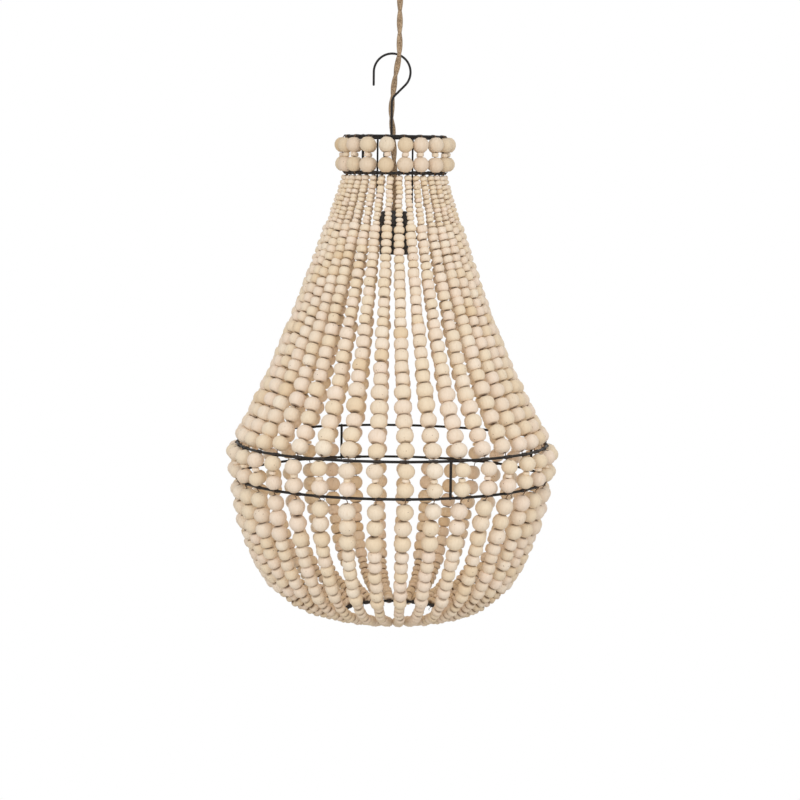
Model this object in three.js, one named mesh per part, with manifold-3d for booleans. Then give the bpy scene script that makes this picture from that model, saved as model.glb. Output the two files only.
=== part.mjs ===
// Beaded chandelier: three wire frames joined by strings of wooden beads, with a lampholder,
// a hanging hook and a supply cord that rises to a ceiling rose.
// Millimetres, +Z up, front towards -Y. The origin is the saddle of the hook, where it hangs.
import * as THREE from 'three';
import { mergeVertices } from 'three/addons/utils/BufferGeometryUtils.js';
import Module from 'manifold-3d';

const wasm = await Module();
wasm.setup();

// Clearances and mesh steps
const seatGap = 0.3;
const wireSides = 6;
const ringSteps = 36;
const turnedSteps = 20;
const hookArcSteps = 10;
const hookNeckSteps = 3;
const hookStemSteps = 3;
const cradleBendSteps = 6;
const upperTaperSteps = 3;
const lowerTaperSteps = 5;
const mergeTolerance = 1e-3;

// Lamp body: the axis stands beside the hook's saddle
const lampAxisOffset = 5;
const frameWire = 3.5;
const stringWire = 1.2;
const strandCount = 36;

// Crown: two rings, three struts and one cross bar
const crownTopDrop = 106;
const crownHeight = 47;
const crownRadius = 64;
const crownStrutCount = 3;
const crownStrutAngle = -40;
const crownPairCount = 18;
const crownPairOut = 4.7;
const crownPairDrop = 1.4;

// Band: the two wide rings
const bandTopDrop = 509;
const bandHeight = 46;
const bandRadius = 205;
const bandStrutCount = 4;
const bandStrutAngle = 21;

// Bottom ring
const bottomDrop = 738;
const bottomRadius = 65;

// Beads, from the crown down
const smallestBead = { diameter: 9.6, pitch: 6.1, count: 11 };
const smallBead = { diameter: 13.9, pitch: 10, count: 6 };
const middleBead = { diameter: 15.4, pitch: 12.6, count: 6 };
const largeBead = { diameter: 18.2, pitch: 15.3, count: 5 };
const largestBead = { diameter: 22.2, pitch: 19, count: 5 };
const pairBead = { diameter: 21.6, pitch: 18.5 };
const spacerBead = { diameter: 9.3 };
const crownPairBead = { diameter: 20.8, pitch: 19.6 };
const crownSpacerBead = { diameter: 8.6 };
const lowerLargestBead = { diameter: 22.2, pitch: 20.4, count: 3 };
const lowerLargeBead = { diameter: 17.6, pitch: 14.1, count: 6 };
const lowerSmallBead = { diameter: 13.8, pitch: 9.8, count: 10 };
const beadSides = 5;
const neckShare = 0.62;
const runShare = 0.93;

// Strings: each bends towards pull points, placed by shares of its width and fall
const upperBareString = 2;
const upperRingClearance = 2;
const upperPullAcrossShare = 0.608;
const upperPullDownShare = 0.774;
const lowerBareString = 2.4;
const lowerRingClearance = 2.8;
const lowerDrawShare = 0.22;
const lowerFallShare = 0.99;
const lowerReachShare = 0.31;
const lowerRise = 12.5;
const crossingShares = [-0.8, -0.4, 0, 0.4, 0.8];

// Hanging hook
const hookWire = 3;
const hookRadius = 24;
const hookTipDrop = 16.5;
const hookNeckRadius = 15;
const hookNeckAngle = 45;
const hookLap = 12;
const hookSteps = 34;

// Lampholder and its cradle
const cradleWire = 2.5;
const cradleHalfWidth = 23;
const cradleRingRadius = 28;
const cradleRingThickness = 1.6;
const cradleTipLength = 5;
const holderTopDrop = 202;
const capHeight = 20;
const capTopRadius = 8;
const capTopWall = 4.4;
const capShoulderShare = 0.4;
const capRoundShare = 0.15;
const skirtHeight = 38;
const skirtRadius = 19.5;
const skirtWall = 3.4;
const skirtLipHeight = 3.5;
const skirtLipDrop = 8;
const plasticWall = 2.2;
const shadeRingRadius = 30;
const shadeRingHeight = 4;
const shadeRingWall = 1.1;
const threadClearance = 0.4;
const insertHeight = 16;
const shellWall = 0.7;
const shellHeight = 15;
const contactRadius = 3;
const contactThickness = 1.4;
const contactStemRadius = 1.4;
const contactStemLength = 5;
const contactTravel = 1.5;
const contactClearance = 0.4;

// Supply cord: the route is chosen point by point, from the rose down to the lampholder
const cordDiameter = 8;
const cordSides = 10;
const cordStep = 18;
const cordRoute = [
  [9.3, -7, 129.7], [9.3, -7, 112], [9.3, -7, 94], [9.3, -7, 76], [9.3, -7, 58], [9.3, -7, 40],
  [9.3, -7, 24], [9.3, -7, 10], [9.0, -7, 0], [6.8, -4.6, -14], [3.8, 1.4, -30], [1.8, 6.6, -46],
  [0, 8.4, -62], [-0.4, 9.6, -80], [1.6, 10.2, -98], [2.7, 10, -112], [3.6, 8, -134],
  [4.4, 4.4, -156], [4.9, 1.2, -176], [5, 0, -192], [5, 0, -204], [5, 0, -213],
];
const cordBoreGap = 0.6;

// Ceiling rose, on the cord above the hook
const roseX = 9.3;
const roseY = -7;
const ceilingHeight = 130;
const roseRadius = 45;
const roseHeight = 38;
const roseWall = 2;
const roseHoleRadius = 10;
const roseOutlineShares = [[0.62, 0.07], [0.9, 0.26], [1, 0.55]];
const gripRadius = 12;
const gripHeight = 10;
const gripWaistShare = 0.8;
const gripShoulderShare = 0.6;
const gripNeckHeight = 5;
const bracketWidth = 18;
const bracketThickness = 2;
const bracketHoleRadius = 6;

// Heights worked out from the drops
const crownTopZ = -crownTopDrop;
const crownLowZ = crownTopZ - crownHeight;
const bandTopZ = -bandTopDrop;
const bandLowZ = bandTopZ - bandHeight;
const bottomZ = -bottomDrop;
const wireRadius = frameWire / 2;
const stringRadius = stringWire / 2;
const stringOut = wireRadius + seatGap + stringRadius;
const barBack = wireRadius + seatGap + hookWire / 2;

// Materials
const wood = new THREE.MeshStandardMaterial({ color: 0xdcc29c, roughness: 0.75, metalness: 0 });
const blackWire = new THREE.MeshStandardMaterial({ color: 0x15130f, roughness: 0.5, metalness: 0.2 });
const blackPlastic = new THREE.MeshStandardMaterial({ color: 0x161616, roughness: 0.4, metalness: 0 });
const whiteCeramic = new THREE.MeshStandardMaterial({ color: 0xe9e6df, roughness: 0.45, metalness: 0 });
const brass = new THREE.MeshStandardMaterial({ color: 0xb8923e, roughness: 0.35, metalness: 1 });
const jute = new THREE.MeshStandardMaterial({ color: 0xa58361, roughness: 0.95, metalness: 0 });
const zincSteel = new THREE.MeshStandardMaterial({ color: 0xb9bcc0, roughness: 0.4, metalness: 0.9 });

// Keeps positions only, merges shared corners and turns the faces outwards
function closedGeometry(geometry) {
  const bare = new THREE.BufferGeometry();
  bare.setAttribute('position', geometry.getAttribute('position').clone());
  const count = bare.getAttribute('position').count;
  bare.setIndex(geometry.index ? geometry.index.clone() : [...Array(count).keys()]);
  const merged = mergeVertices(bare, mergeTolerance);
  const kept = [];
  const order = merged.index.array;
  for (let i = 0; i < order.length; i += 3) {
    const [a, b, c] = [order[i], order[i + 1], order[i + 2]];
    if (a !== b && b !== c && c !== a) kept.push(a, b, c);
  }
  merged.setIndex(signedVolume(merged, kept) < 0 ? kept.reverse() : kept);
  return merged;
}

function signedVolume(geometry, order) {
  const place = geometry.getAttribute('position');
  const [a, b, c] = [new THREE.Vector3(), new THREE.Vector3(), new THREE.Vector3()];
  let sum = 0;
  for (let i = 0; i < order.length; i += 3) {
    a.fromBufferAttribute(place, order[i]);
    b.fromBufferAttribute(place, order[i + 1]);
    c.fromBufferAttribute(place, order[i + 2]);
    sum += a.dot(b.cross(c));
  }
  return sum;
}

function toSolid(geometry) {
  const closed = closedGeometry(geometry);
  return new wasm.Manifold(new wasm.Mesh({
    numProp: 3,
    vertProperties: new Float32Array(closed.getAttribute('position').array),
    triVerts: new Uint32Array(closed.index.array),
  }));
}

function toGeometry(manifold) {
  const mesh = manifold.getMesh();
  const geometry = new THREE.BufferGeometry();
  geometry.setAttribute('position', new THREE.BufferAttribute(new Float32Array(mesh.vertProperties), 3));
  geometry.setIndex(Array.from(mesh.triVerts));
  return closedGeometry(geometry);
}

function joined(geometries) {
  return toGeometry(geometries.map(toSolid).reduce((whole, next) => whole.add(next)));
}

// A profile of [radius, height] pairs turned about the Z axis
function turned(profile, steps = turnedSteps) {
  const points = profile.map(([radius, height]) => new THREE.Vector2(radius, height));
  return new THREE.LatheGeometry(points, steps).rotateX(Math.PI / 2);
}

// The same for a ring-shaped profile, which closes on itself
function turnedRing(profile, steps = turnedSteps) {
  return turned([...profile, profile[0]], steps);
}

function wireRing(radius, height) {
  const halfStep = Math.PI / ringSteps;
  const ring = new THREE.TorusGeometry(radius, wireRadius, wireSides, ringSteps);
  return ring.rotateZ(halfStep).translate(0, 0, height);
}

// A round wire along a curve
function wireAlong(curve, diameter, steps, sides = wireSides) {
  const section = new THREE.Shape();
  for (let i = 0; i < sides; i += 1) {
    const angle = (2 * Math.PI * i) / sides;
    const [x, y] = [(diameter / 2) * Math.cos(angle), (diameter / 2) * Math.sin(angle)];
    if (i === 0) section.moveTo(x, y);
    else section.lineTo(x, y);
  }
  return new THREE.ExtrudeGeometry(section, { steps, extrudePath: curve, bevelEnabled: false });
}

function straightWire(from, to, diameter) {
  return wireAlong(new THREE.LineCurve3(from, to), diameter, 1);
}

// A point at an angle from the front, at a radius and height on the lamp
function around(degrees, radius, height) {
  const angle = THREE.MathUtils.degToRad(degrees);
  return new THREE.Vector3(radius * Math.sin(angle), -radius * Math.cos(angle), height);
}

const lamp = new THREE.Group();
lamp.position.x = lampAxisOffset;
const rose = new THREE.Group();
rose.position.set(roseX, roseY, ceilingHeight);
const chandelier = new THREE.Group();
chandelier.add(lamp, rose);

function addPiece(group, name, geometry, material) {
  const mesh = new THREE.Mesh(closedGeometry(geometry), material);
  mesh.name = name;
  group.add(mesh);
  return mesh;
}

function strutsBetween(count, firstAngle, radius, topZ, lowZ) {
  const struts = [];
  for (let i = 0; i < count; i += 1) {
    const angle = firstAngle + (360 * i) / count;
    struts.push(straightWire(around(angle, radius, topZ), around(angle, radius, lowZ), frameWire));
  }
  return struts;
}

// Crown frame
function crownFrame() {
  const barHalf = Math.sqrt(crownRadius ** 2 - barBack ** 2);
  const bar = straightWire(
    new THREE.Vector3(-barHalf, barBack, crownTopZ),
    new THREE.Vector3(barHalf, barBack, crownTopZ),
    frameWire,
  );
  return joined([
    wireRing(crownRadius, crownTopZ),
    wireRing(crownRadius, crownLowZ),
    bar,
    ...strutsBetween(crownStrutCount, crownStrutAngle, crownRadius, crownTopZ, crownLowZ),
  ]);
}

// Band frame
function bandFrame() {
  return joined([
    wireRing(bandRadius, bandTopZ),
    wireRing(bandRadius, bandLowZ),
    ...strutsBetween(bandStrutCount, bandStrutAngle, bandRadius, bandTopZ, bandLowZ),
  ]);
}

// Hanging hook: three quarters of a ring, a slanting leg and a straight stem lapped on the bar
function hookCurve() {
  const centreZ = hookWire / 2 - hookRadius;
  const neck = THREE.MathUtils.degToRad(hookNeckAngle);
  const points = [new THREE.Vector3(-hookRadius, 0, centreZ - hookTipDrop)];
  for (let i = 0; i <= hookArcSteps; i += 1) {
    const angle = Math.PI - ((Math.PI + neck) * i) / hookArcSteps;
    points.push(new THREE.Vector3(
      hookRadius * Math.cos(angle), 0, centreZ + hookRadius * Math.sin(angle)));
  }
  const arcEnd = points[points.length - 1];
  const neckReach = hookNeckRadius * (1 - Math.cos(neck));
  const legLength = (arcEnd.x - neckReach) / Math.sin(neck);
  const legEndZ = arcEnd.z - legLength * Math.cos(neck);
  const neckCentre = new THREE.Vector3(hookNeckRadius, 0, legEndZ - hookNeckRadius * Math.sin(neck));
  for (let i = 0; i <= hookNeckSteps; i += 1) {
    const angle = neck * (1 - i / hookNeckSteps);
    points.push(new THREE.Vector3(
      neckCentre.x - hookNeckRadius * Math.cos(angle), 0,
      neckCentre.z + hookNeckRadius * Math.sin(angle)));
  }
  const stemEndZ = crownTopZ - hookLap;
  for (let i = 1; i <= hookStemSteps; i += 1) {
    points.push(new THREE.Vector3(0, 0, neckCentre.z + ((stemEndZ - neckCentre.z) * i) / hookStemSteps));
  }
  return new THREE.CatmullRomCurve3(points, false, 'centripetal');
}

// Holder cradle: a flat ring on two wires that hook over the cross bar
function cradleHook(x) {
  const bend = wireRadius + seatGap + cradleWire / 2;
  const arc = [];
  for (let i = 0; i <= cradleBendSteps; i += 1) {
    const angle = Math.PI - (Math.PI * i) / cradleBendSteps;
    arc.push(new THREE.Vector3(x, barBack + bend * Math.cos(angle), crownTopZ + bend * Math.sin(angle)));
  }
  const [start, end] = [arc[0], arc[cradleBendSteps]];
  const foot = new THREE.Vector3(x, start.y, holderSeatZ - cradleRingThickness / 2);
  const tip = new THREE.Vector3(x, end.y, crownTopZ - cradleTipLength);
  const lap = new THREE.Vector3(0, 0, seatGap);
  return [
    straightWire(foot, start.clone().add(lap), cradleWire),
    wireAlong(new THREE.CatmullRomCurve3(arc, false, 'centripetal'), cradleWire, cradleBendSteps),
    straightWire(end.clone().add(lap), tip, cradleWire),
  ];
}

function holderCradle() {
  const inner = skirtRadius + seatGap;
  const plate = turnedRing([
    [inner, holderSeatZ - cradleRingThickness],
    [cradleRingRadius, holderSeatZ - cradleRingThickness],
    [cradleRingRadius, holderSeatZ],
    [inner, holderSeatZ],
  ]);
  return joined([plate, ...cradleHook(-cradleHalfWidth), ...cradleHook(cradleHalfWidth)]);
}

// Lampholder levels, from the top of its cap down
const holderTopZ = -holderTopDrop;
const skirtTopZ = holderTopZ - capHeight;
const skirtLowZ = skirtTopZ - skirtHeight;
const lipLowZ = skirtTopZ - skirtLipDrop - skirtLipHeight;
const holderSeatZ = lipLowZ - seatGap;
const shadeRingTopZ = holderSeatZ - cradleRingThickness - seatGap;
const skirtInner = skirtRadius - skirtWall;
const lipRadius = cradleHalfWidth - cradleWire / 2 - seatGap;
const insertRadius = skirtInner - seatGap;
const insertTopZ = skirtTopZ - seatGap;
const insertLowZ = insertTopZ - insertHeight;
const cordBore = cordDiameter / 2 + cordBoreGap;

function lampholderCap() {
  const shoulderZ = holderTopZ - capHeight * capShoulderShare;
  const roundZ = holderTopZ - capHeight * capRoundShare;
  return turnedRing([
    [skirtRadius, skirtTopZ + seatGap],
    [skirtRadius, shoulderZ],
    [(skirtRadius + capTopRadius) / 2, roundZ],
    [capTopRadius, holderTopZ],
    [cordBore, holderTopZ],
    [cordBore, holderTopZ - capTopWall],
    [skirtRadius - capTopWall, shoulderZ - plasticWall],
    [skirtRadius - plasticWall, skirtTopZ + seatGap],
  ]);
}

function lampholderSkirt() {
  return turnedRing([
    [skirtInner, skirtTopZ],
    [skirtInner, skirtLowZ],
    [skirtRadius, skirtLowZ],
    [skirtRadius, lipLowZ],
    [lipRadius, lipLowZ],
    [lipRadius, lipLowZ + skirtLipHeight],
    [skirtRadius, lipLowZ + skirtLipHeight],
    [skirtRadius, skirtTopZ],
  ]);
}

// Threaded ring that clamps the cradle's plate against the lip of the skirt
function shadeRing() {
  const inner = skirtRadius + threadClearance;
  const neck = inner + shadeRingWall;
  const low = shadeRingTopZ - shadeRingHeight;
  return turnedRing([
    [inner, shadeRingTopZ],
    [inner, low - shadeRingHeight],
    [neck, low - shadeRingHeight],
    [neck, low],
    [shadeRingRadius, low],
    [shadeRingRadius, shadeRingTopZ],
  ]);
}

// Ceramic insert with a blind bore for the stem of the centre contact
function contactInsert() {
  const bore = contactStemRadius + contactClearance;
  const boreTopZ = insertLowZ + contactStemLength + contactTravel + contactClearance;
  const screwWell = contactRadius;
  return turned([
    [0, boreTopZ],
    [bore, boreTopZ],
    [bore, insertLowZ],
    [insertRadius, insertLowZ],
    [insertRadius, insertTopZ],
    [screwWell, insertTopZ],
    [screwWell, insertTopZ - plasticWall],
    [0, insertTopZ - plasticWall],
  ]);
}

// Spring contact under the insert: a round head on a stem, with room to be pressed up
function centreContact() {
  const headTopZ = insertLowZ - contactTravel - seatGap;
  return turned([
    [0, headTopZ - contactThickness],
    [contactRadius, headTopZ - contactThickness],
    [contactRadius, headTopZ],
    [contactStemRadius, headTopZ],
    [contactStemRadius, headTopZ + contactStemLength],
    [0, headTopZ + contactStemLength],
  ]);
}

function shellContact() {
  const outer = insertRadius - shellWall;
  const top = insertLowZ - seatGap;
  return turnedRing([
    [outer - shellWall, top],
    [outer - shellWall, top - shellHeight],
    [outer, top - shellHeight],
    [outer, top],
  ]);
}

// A tube of beads: rings of corners set square to the string that it follows
function beadedTube(stations) {
  const corners = [];
  const order = [];
  stations.forEach(({ place, tangent, side, radius }) => {
    const outward = new THREE.Vector3().crossVectors(side, tangent).normalize();
    for (let i = 0; i < beadSides; i += 1) {
      const angle = (2 * Math.PI * i) / beadSides;
      const corner = place.clone()
        .addScaledVector(outward, radius * Math.cos(angle))
        .addScaledVector(side, radius * Math.sin(angle));
      corners.push(corner.x, corner.y, corner.z);
    }
  });
  const last = stations.length - 1;
  for (let ring = 0; ring < last; ring += 1) {
    for (let i = 0; i < beadSides; i += 1) {
      const next = (i + 1) % beadSides;
      const [a, b] = [ring * beadSides + i, ring * beadSides + next];
      const [c, d] = [a + beadSides, b + beadSides];
      order.push(a, b, c, b, d, c);
    }
  }
  for (let i = 1; i < beadSides - 1; i += 1) {
    order.push(0, i + 1, i);
    order.push(last * beadSides, last * beadSides + i, last * beadSides + i + 1);
  }
  const geometry = new THREE.BufferGeometry();
  geometry.setAttribute('position', new THREE.Float32BufferAttribute(corners, 3));
  geometry.setIndex(order);
  return geometry;
}

// A strand lies in the plane of one meridian, so all its rings share one side direction
const meridianSide = new THREE.Vector3(0, 1, 0);

function stationOn(curve, share, radius) {
  const at = Math.min(Math.max(share, 0), 1);
  return { place: curve.getPointAt(at), tangent: curve.getTangentAt(at), side: meridianSide, radius };
}

function hangingStation(out, height, radius) {
  const down = new THREE.Vector3(0, 0, -1);
  return { place: new THREE.Vector3(out, 0, height), tangent: down, side: meridianSide, radius };
}

// Beads of one size, each a swelling between two necks; the last one narrows to lastRadius
function formedBeads(curve, start, size, step, lastRadius) {
  const stations = [];
  for (let i = 0; i < size.count; i += 1) {
    const end = i === size.count - 1 ? lastRadius : (neckShare * size.diameter) / 2;
    stations.push(stationOn(curve, start + step * (i + 0.5), size.diameter / 2));
    stations.push(stationOn(curve, start + step * (i + 1), end));
  }
  return stations;
}

// A run of small beads as one tapering stretch
function plainRun(curve, start, end, steps, firstDiameter, lastDiameter) {
  const stations = [];
  for (let i = 0; i <= steps; i += 1) {
    const share = i / steps;
    const diameter = firstDiameter + (lastDiameter - firstDiameter) * share;
    stations.push(stationOn(curve, start + (end - start) * share, (runShare * diameter) / 2));
  }
  return stations;
}

const runLength = (sizes) => sizes.reduce((sum, size) => sum + size.pitch * size.count, 0);
const ringReach = wireRadius + seatGap;
const bandIn = bandRadius - stringOut;
const bandOut = bandRadius + stringOut;

function upperCurve() {
  const top = new THREE.Vector3(crownRadius, 0, crownLowZ - ringReach);
  const end = new THREE.Vector3(bandIn, 0, bandTopZ + ringReach + upperRingClearance);
  const pull = new THREE.Vector3(
    top.x + (end.x - top.x) * upperPullAcrossShare, 0,
    top.z + (end.z - top.z) * upperPullDownShare);
  return new THREE.QuadraticBezierCurve3(top, pull, end);
}

function lowerCurve() {
  const top = new THREE.Vector3(bandRadius, 0, bandLowZ - wireRadius - lowerRingClearance);
  const end = new THREE.Vector3(bottomRadius + ringReach, 0, bottomZ);
  const fall = top.z - end.z;
  const span = top.x - end.x;
  return new THREE.CubicBezierCurve3(
    top,
    new THREE.Vector3(top.x - span * lowerDrawShare, 0, top.z - fall * lowerFallShare),
    new THREE.Vector3(end.x + span * lowerReachShare, 0, bottomZ + lowerRise),
    end,
  );
}

// Heights and radii of two large beads between two heights, with a small spacer between the beads
function pairLevels(high, low, bead, spacer) {
  const half = bead.pitch / 2;
  return [
    [high, stringRadius],
    [high - half, bead.diameter / 2],
    [(high + low) / 2, (spacer.diameter / 2) * neckShare],
    [low + half, bead.diameter / 2],
    [low, stringRadius],
  ];
}

function upperStations() {
  const curve = upperCurve();
  const taperSizes = [smallestBead, smallBead, middleBead, largeBead];
  const total = upperBareString + runLength([...taperSizes, largestBead]);
  const taperEnd = (upperBareString + runLength(taperSizes)) / total;
  const firstHalf = (upperBareString + 0.5 * smallestBead.pitch) / total;
  const lastHalf = (0.5 * largeBead.pitch) / total;
  return [
    ...plainRun(curve, firstHalf, taperEnd - lastHalf, upperTaperSteps,
      smallestBead.diameter, largeBead.diameter),
    stationOn(curve, taperEnd, (neckShare * largestBead.diameter) / 2),
    ...formedBeads(curve, taperEnd, largestBead, largestBead.pitch / total, stringRadius),
  ];
}

function lowerStations() {
  const curve = lowerCurve();
  const total = lowerBareString + runLength([lowerLargestBead, lowerLargeBead, lowerSmallBead]);
  const bareShare = lowerBareString / total;
  const taperStart = bareShare + runLength([lowerLargestBead]) / total;
  const firstHalf = (0.5 * lowerLargeBead.pitch) / total;
  const lastHalf = (0.5 * lowerSmallBead.pitch) / total;
  return [
    stationOn(curve, 0, stringRadius),
    ...formedBeads(curve, bareShare, lowerLargestBead, lowerLargestBead.pitch / total,
      (neckShare * lowerLargestBead.diameter) / 2),
    ...plainRun(curve, taperStart + firstHalf, 1 - lastHalf, lowerTaperSteps,
      lowerLargeBead.diameter, lowerSmallBead.diameter),
    stationOn(curve, 1, stringRadius),
  ];
}

// From under the crown's lower ring, inside the band's upper ring, then outside its lower ring
function beadStrand() {
  const [[top, radius], ...pairs] = pairLevels(
    bandTopZ - ringReach, bandLowZ + ringReach, pairBead, spacerBead);
  return beadedTube([
    hangingStation(crownRadius, crownLowZ - ringReach, stringRadius),
    ...upperStations(),
    hangingStation(bandIn, bandTopZ, stringRadius),
    hangingStation(bandIn, top, radius),
    ...pairs.map(([height, width]) => hangingStation(bandOut, height, width)),
    hangingStation(bandOut, bandLowZ - ringReach, stringRadius),
    ...lowerStations(),
  ]);
}

// Crown beads: a string up through one pair, over the top ring and down through the next pair.
// The pairs hang outside the rings, and the string leans in to each ring at 45 degrees
function crownBeadLoop() {
  const halfStep = 360 / crownPairCount / 2;
  const lean = stringOut * Math.SQRT1_2;
  const tieRadius = crownRadius + lean;
  const pairRadius = crownRadius + crownPairOut;
  const station = (degrees, out, height, tangent, radius) => {
    const place = around(degrees, out, height);
    const side = new THREE.Vector3().crossVectors(tangent, around(degrees, 1, 0)).normalize();
    return { place, tangent, side, radius };
  };
  const down = new THREE.Vector3(0, 0, -1);
  const pairs = pairLevels(
    crownTopZ - crownPairDrop, crownLowZ + crownPairDrop, crownPairBead, crownSpacerBead);
  const levels = [
    ...pairs.map(([height, radius]) => [pairRadius, height, radius]),
    [tieRadius, crownLowZ - lean, stringRadius],
  ];
  const falling = levels.map(([out, height, radius]) => station(halfStep, out, height, down, radius));
  const up = down.clone().negate();
  const rising = levels.map(([out, height, radius]) => station(-halfStep, out, height, up, radius));
  const crossing = crossingShares.map((share) => {
    const degrees = share * halfStep;
    return station(degrees, tieRadius, crownTopZ + lean, around(degrees + 90, 1, 0), stringRadius);
  });
  return beadedTube([...rising.reverse(), ...crossing, ...falling]);
}

// Ceiling rose, turned about the cord, with heights below the ceiling
function roseCup() {
  const rim = -seatGap;
  const low = -roseHeight;
  const outline = [
    [roseHoleRadius, low],
    ...roseOutlineShares.map(([out, up]) => [roseRadius * out, low + roseHeight * up]),
    [roseRadius, rim],
  ];
  const inside = outline.map(([radius, height], i) => [
    i === 0 ? radius : radius - roseWall,
    i === outline.length - 1 ? height : height + roseWall,
  ]).reverse();
  return turnedRing([...outline, ...inside]);
}

function roseGrip() {
  const shoulder = -roseHeight - seatGap;
  const neckRadius = roseHoleRadius - seatGap;
  return turnedRing([
    [cordBore, shoulder - gripHeight],
    [gripRadius * gripWaistShare, shoulder - gripHeight],
    [gripRadius, shoulder - gripHeight * gripShoulderShare],
    [gripRadius, shoulder],
    [neckRadius, shoulder],
    [neckRadius, shoulder + gripNeckHeight],
    [cordBore, shoulder + gripNeckHeight],
  ]);
}

function roseBracket() {
  const flatShare = Math.cos(Math.PI / turnedSteps);
  const reach = (roseRadius - roseWall) * flatShare - seatGap;
  const halfLength = Math.sqrt(reach ** 2 - (bracketWidth / 2) ** 2);
  const bar = new THREE.BoxGeometry(2 * halfLength, bracketWidth, bracketThickness);
  const hole = new THREE.CylinderGeometry(
    bracketHoleRadius, bracketHoleRadius, 2 * bracketThickness, turnedSteps).rotateX(Math.PI / 2);
  return toGeometry(toSolid(bar).subtract(toSolid(hole))).translate(0, 0, -bracketThickness / 2);
}

function cordCurve() {
  const points = cordRoute.map(([x, y, z]) => new THREE.Vector3(x, y, z));
  return new THREE.CatmullRomCurve3(points, false, 'centripetal');
}

// Assembly
addPiece(chandelier, 'hanging_hook', wireAlong(hookCurve(), hookWire, hookSteps), blackWire);
addPiece(lamp, 'crown_frame', crownFrame(), blackWire);
addPiece(lamp, 'band_frame', bandFrame(), blackWire);
addPiece(lamp, 'bottom_ring', wireRing(bottomRadius, bottomZ), blackWire);
addPiece(lamp, 'holder_cradle', holderCradle(), blackWire);
addPiece(lamp, 'lampholder_cap', lampholderCap(), blackPlastic);
addPiece(lamp, 'lampholder_skirt', lampholderSkirt(), blackPlastic);
addPiece(lamp, 'shade_ring', shadeRing(), blackPlastic);
addPiece(lamp, 'contact_insert', contactInsert(), whiteCeramic);
addPiece(lamp, 'centre_contact', centreContact(), brass);
addPiece(lamp, 'shell_contact', shellContact(), brass);

const strand = beadStrand();
for (let i = 0; i < strandCount; i += 1) {
  const number = String(i + 1).padStart(2, '0');
  const mesh = addPiece(lamp, `bead_strand_${number}`, strand, wood);
  mesh.rotation.z = THREE.MathUtils.degToRad(-90 + (360 * (i + 0.5)) / strandCount);
}

const crownBeads = crownBeadLoop();
const crownLoopCount = crownPairCount / 2;
for (let i = 0; i < crownLoopCount; i += 1) {
  const mesh = addPiece(lamp, `crown_bead_loop_${i + 1}`, crownBeads, wood);
  mesh.rotation.z = (2 * Math.PI * (i + 0.5)) / crownLoopCount;
}

const cord = cordCurve();
const cordSteps = Math.round(cord.getLength() / cordStep);
addPiece(chandelier, 'supply_cord', wireAlong(cord, cordDiameter, cordSteps, cordSides), jute);
addPiece(rose, 'rose_cup', roseCup(), blackWire);
addPiece(rose, 'rose_grip', roseGrip(), blackPlastic);
addPiece(rose, 'rose_bracket', roseBracket(), zincSteel);

export default chandelier;
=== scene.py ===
import bpy
import bmesh
import math
import random
from mathutils import Matrix, Vector


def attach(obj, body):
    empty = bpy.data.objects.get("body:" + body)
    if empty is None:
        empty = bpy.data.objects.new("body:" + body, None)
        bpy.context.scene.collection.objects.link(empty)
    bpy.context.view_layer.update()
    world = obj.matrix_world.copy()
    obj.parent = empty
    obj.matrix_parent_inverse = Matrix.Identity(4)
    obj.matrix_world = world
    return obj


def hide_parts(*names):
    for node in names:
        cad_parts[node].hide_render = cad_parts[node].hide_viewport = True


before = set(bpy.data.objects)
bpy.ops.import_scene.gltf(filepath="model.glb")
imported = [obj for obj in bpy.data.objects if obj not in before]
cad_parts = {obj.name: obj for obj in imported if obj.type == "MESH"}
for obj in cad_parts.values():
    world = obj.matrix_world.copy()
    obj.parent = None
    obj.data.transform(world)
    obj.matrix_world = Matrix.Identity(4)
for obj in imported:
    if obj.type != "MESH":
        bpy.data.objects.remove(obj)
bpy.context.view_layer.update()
scene = bpy.context.scene
axis = Vector((0.005, 0.0, 0.0))  # the lamp's own axis, beside the hook's saddle
strandNodes = [f"bead_strand_{i + 1:02d}" for i in range(36)]
loopNodes = [f"crown_bead_loop_{i + 1}" for i in range(9)]
fullTurn = 2 * math.pi
fitGap = 0.0003  # between pieces that touch


def linked(thing):
    scene.collection.objects.link(thing)
    return thing


# one camera, at the height and distance of the photograph
print("camera")
shot = {
    "eye": (0.0151, -2.371, -0.223), "lens": 80.6, "sensor": 36.0, "pitch": 5.535, "yaw": 0.0, "roll": 0.65,
}


def placeCamera():
    lens = bpy.data.cameras.new("camera")
    lens.lens = shot["lens"]
    lens.sensor_width = shot["sensor"]
    eye = linked(bpy.data.objects.new("camera", lens))
    turn = Matrix.Rotation(math.radians(shot["yaw"]), 4, "Z")
    turn = turn @ Matrix.Rotation(math.radians(90 - shot["pitch"]), 4, "X")
    turn = turn @ Matrix.Rotation(math.radians(shot["roll"]), 4, "Z")
    eye.matrix_world = Matrix.Translation(shot["eye"]) @ turn
    scene.camera = eye


placeCamera()


# node trees: a wrapped socket adds maths nodes, and add() makes every other node
class Signal:
    def __init__(self, graph, socket):
        self.graph = graph
        self.socket = socket

    def of(self, name):
        return Signal(self.graph, self.socket.node.outputs[name])

    def maths(self, operation, first, second):
        return self.graph.add("ShaderNodeMath", {"operation": operation}, {0: first, 1: second})

    def __add__(self, other):
        return self.maths("ADD", self, other)

    def __sub__(self, other):
        return self.maths("SUBTRACT", self, other)

    def __rsub__(self, other):
        return self.maths("SUBTRACT", other, self)

    def __mul__(self, other):
        return self.maths("MULTIPLY", self, other)

    def __truediv__(self, other):
        return self.maths("DIVIDE", self, other)

    def __mod__(self, other):
        return self.maths("MODULO", self, other)

    def __pow__(self, other):
        return self.maths("POWER", self, other)

    __radd__ = __add__
    __rmul__ = __mul__


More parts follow.
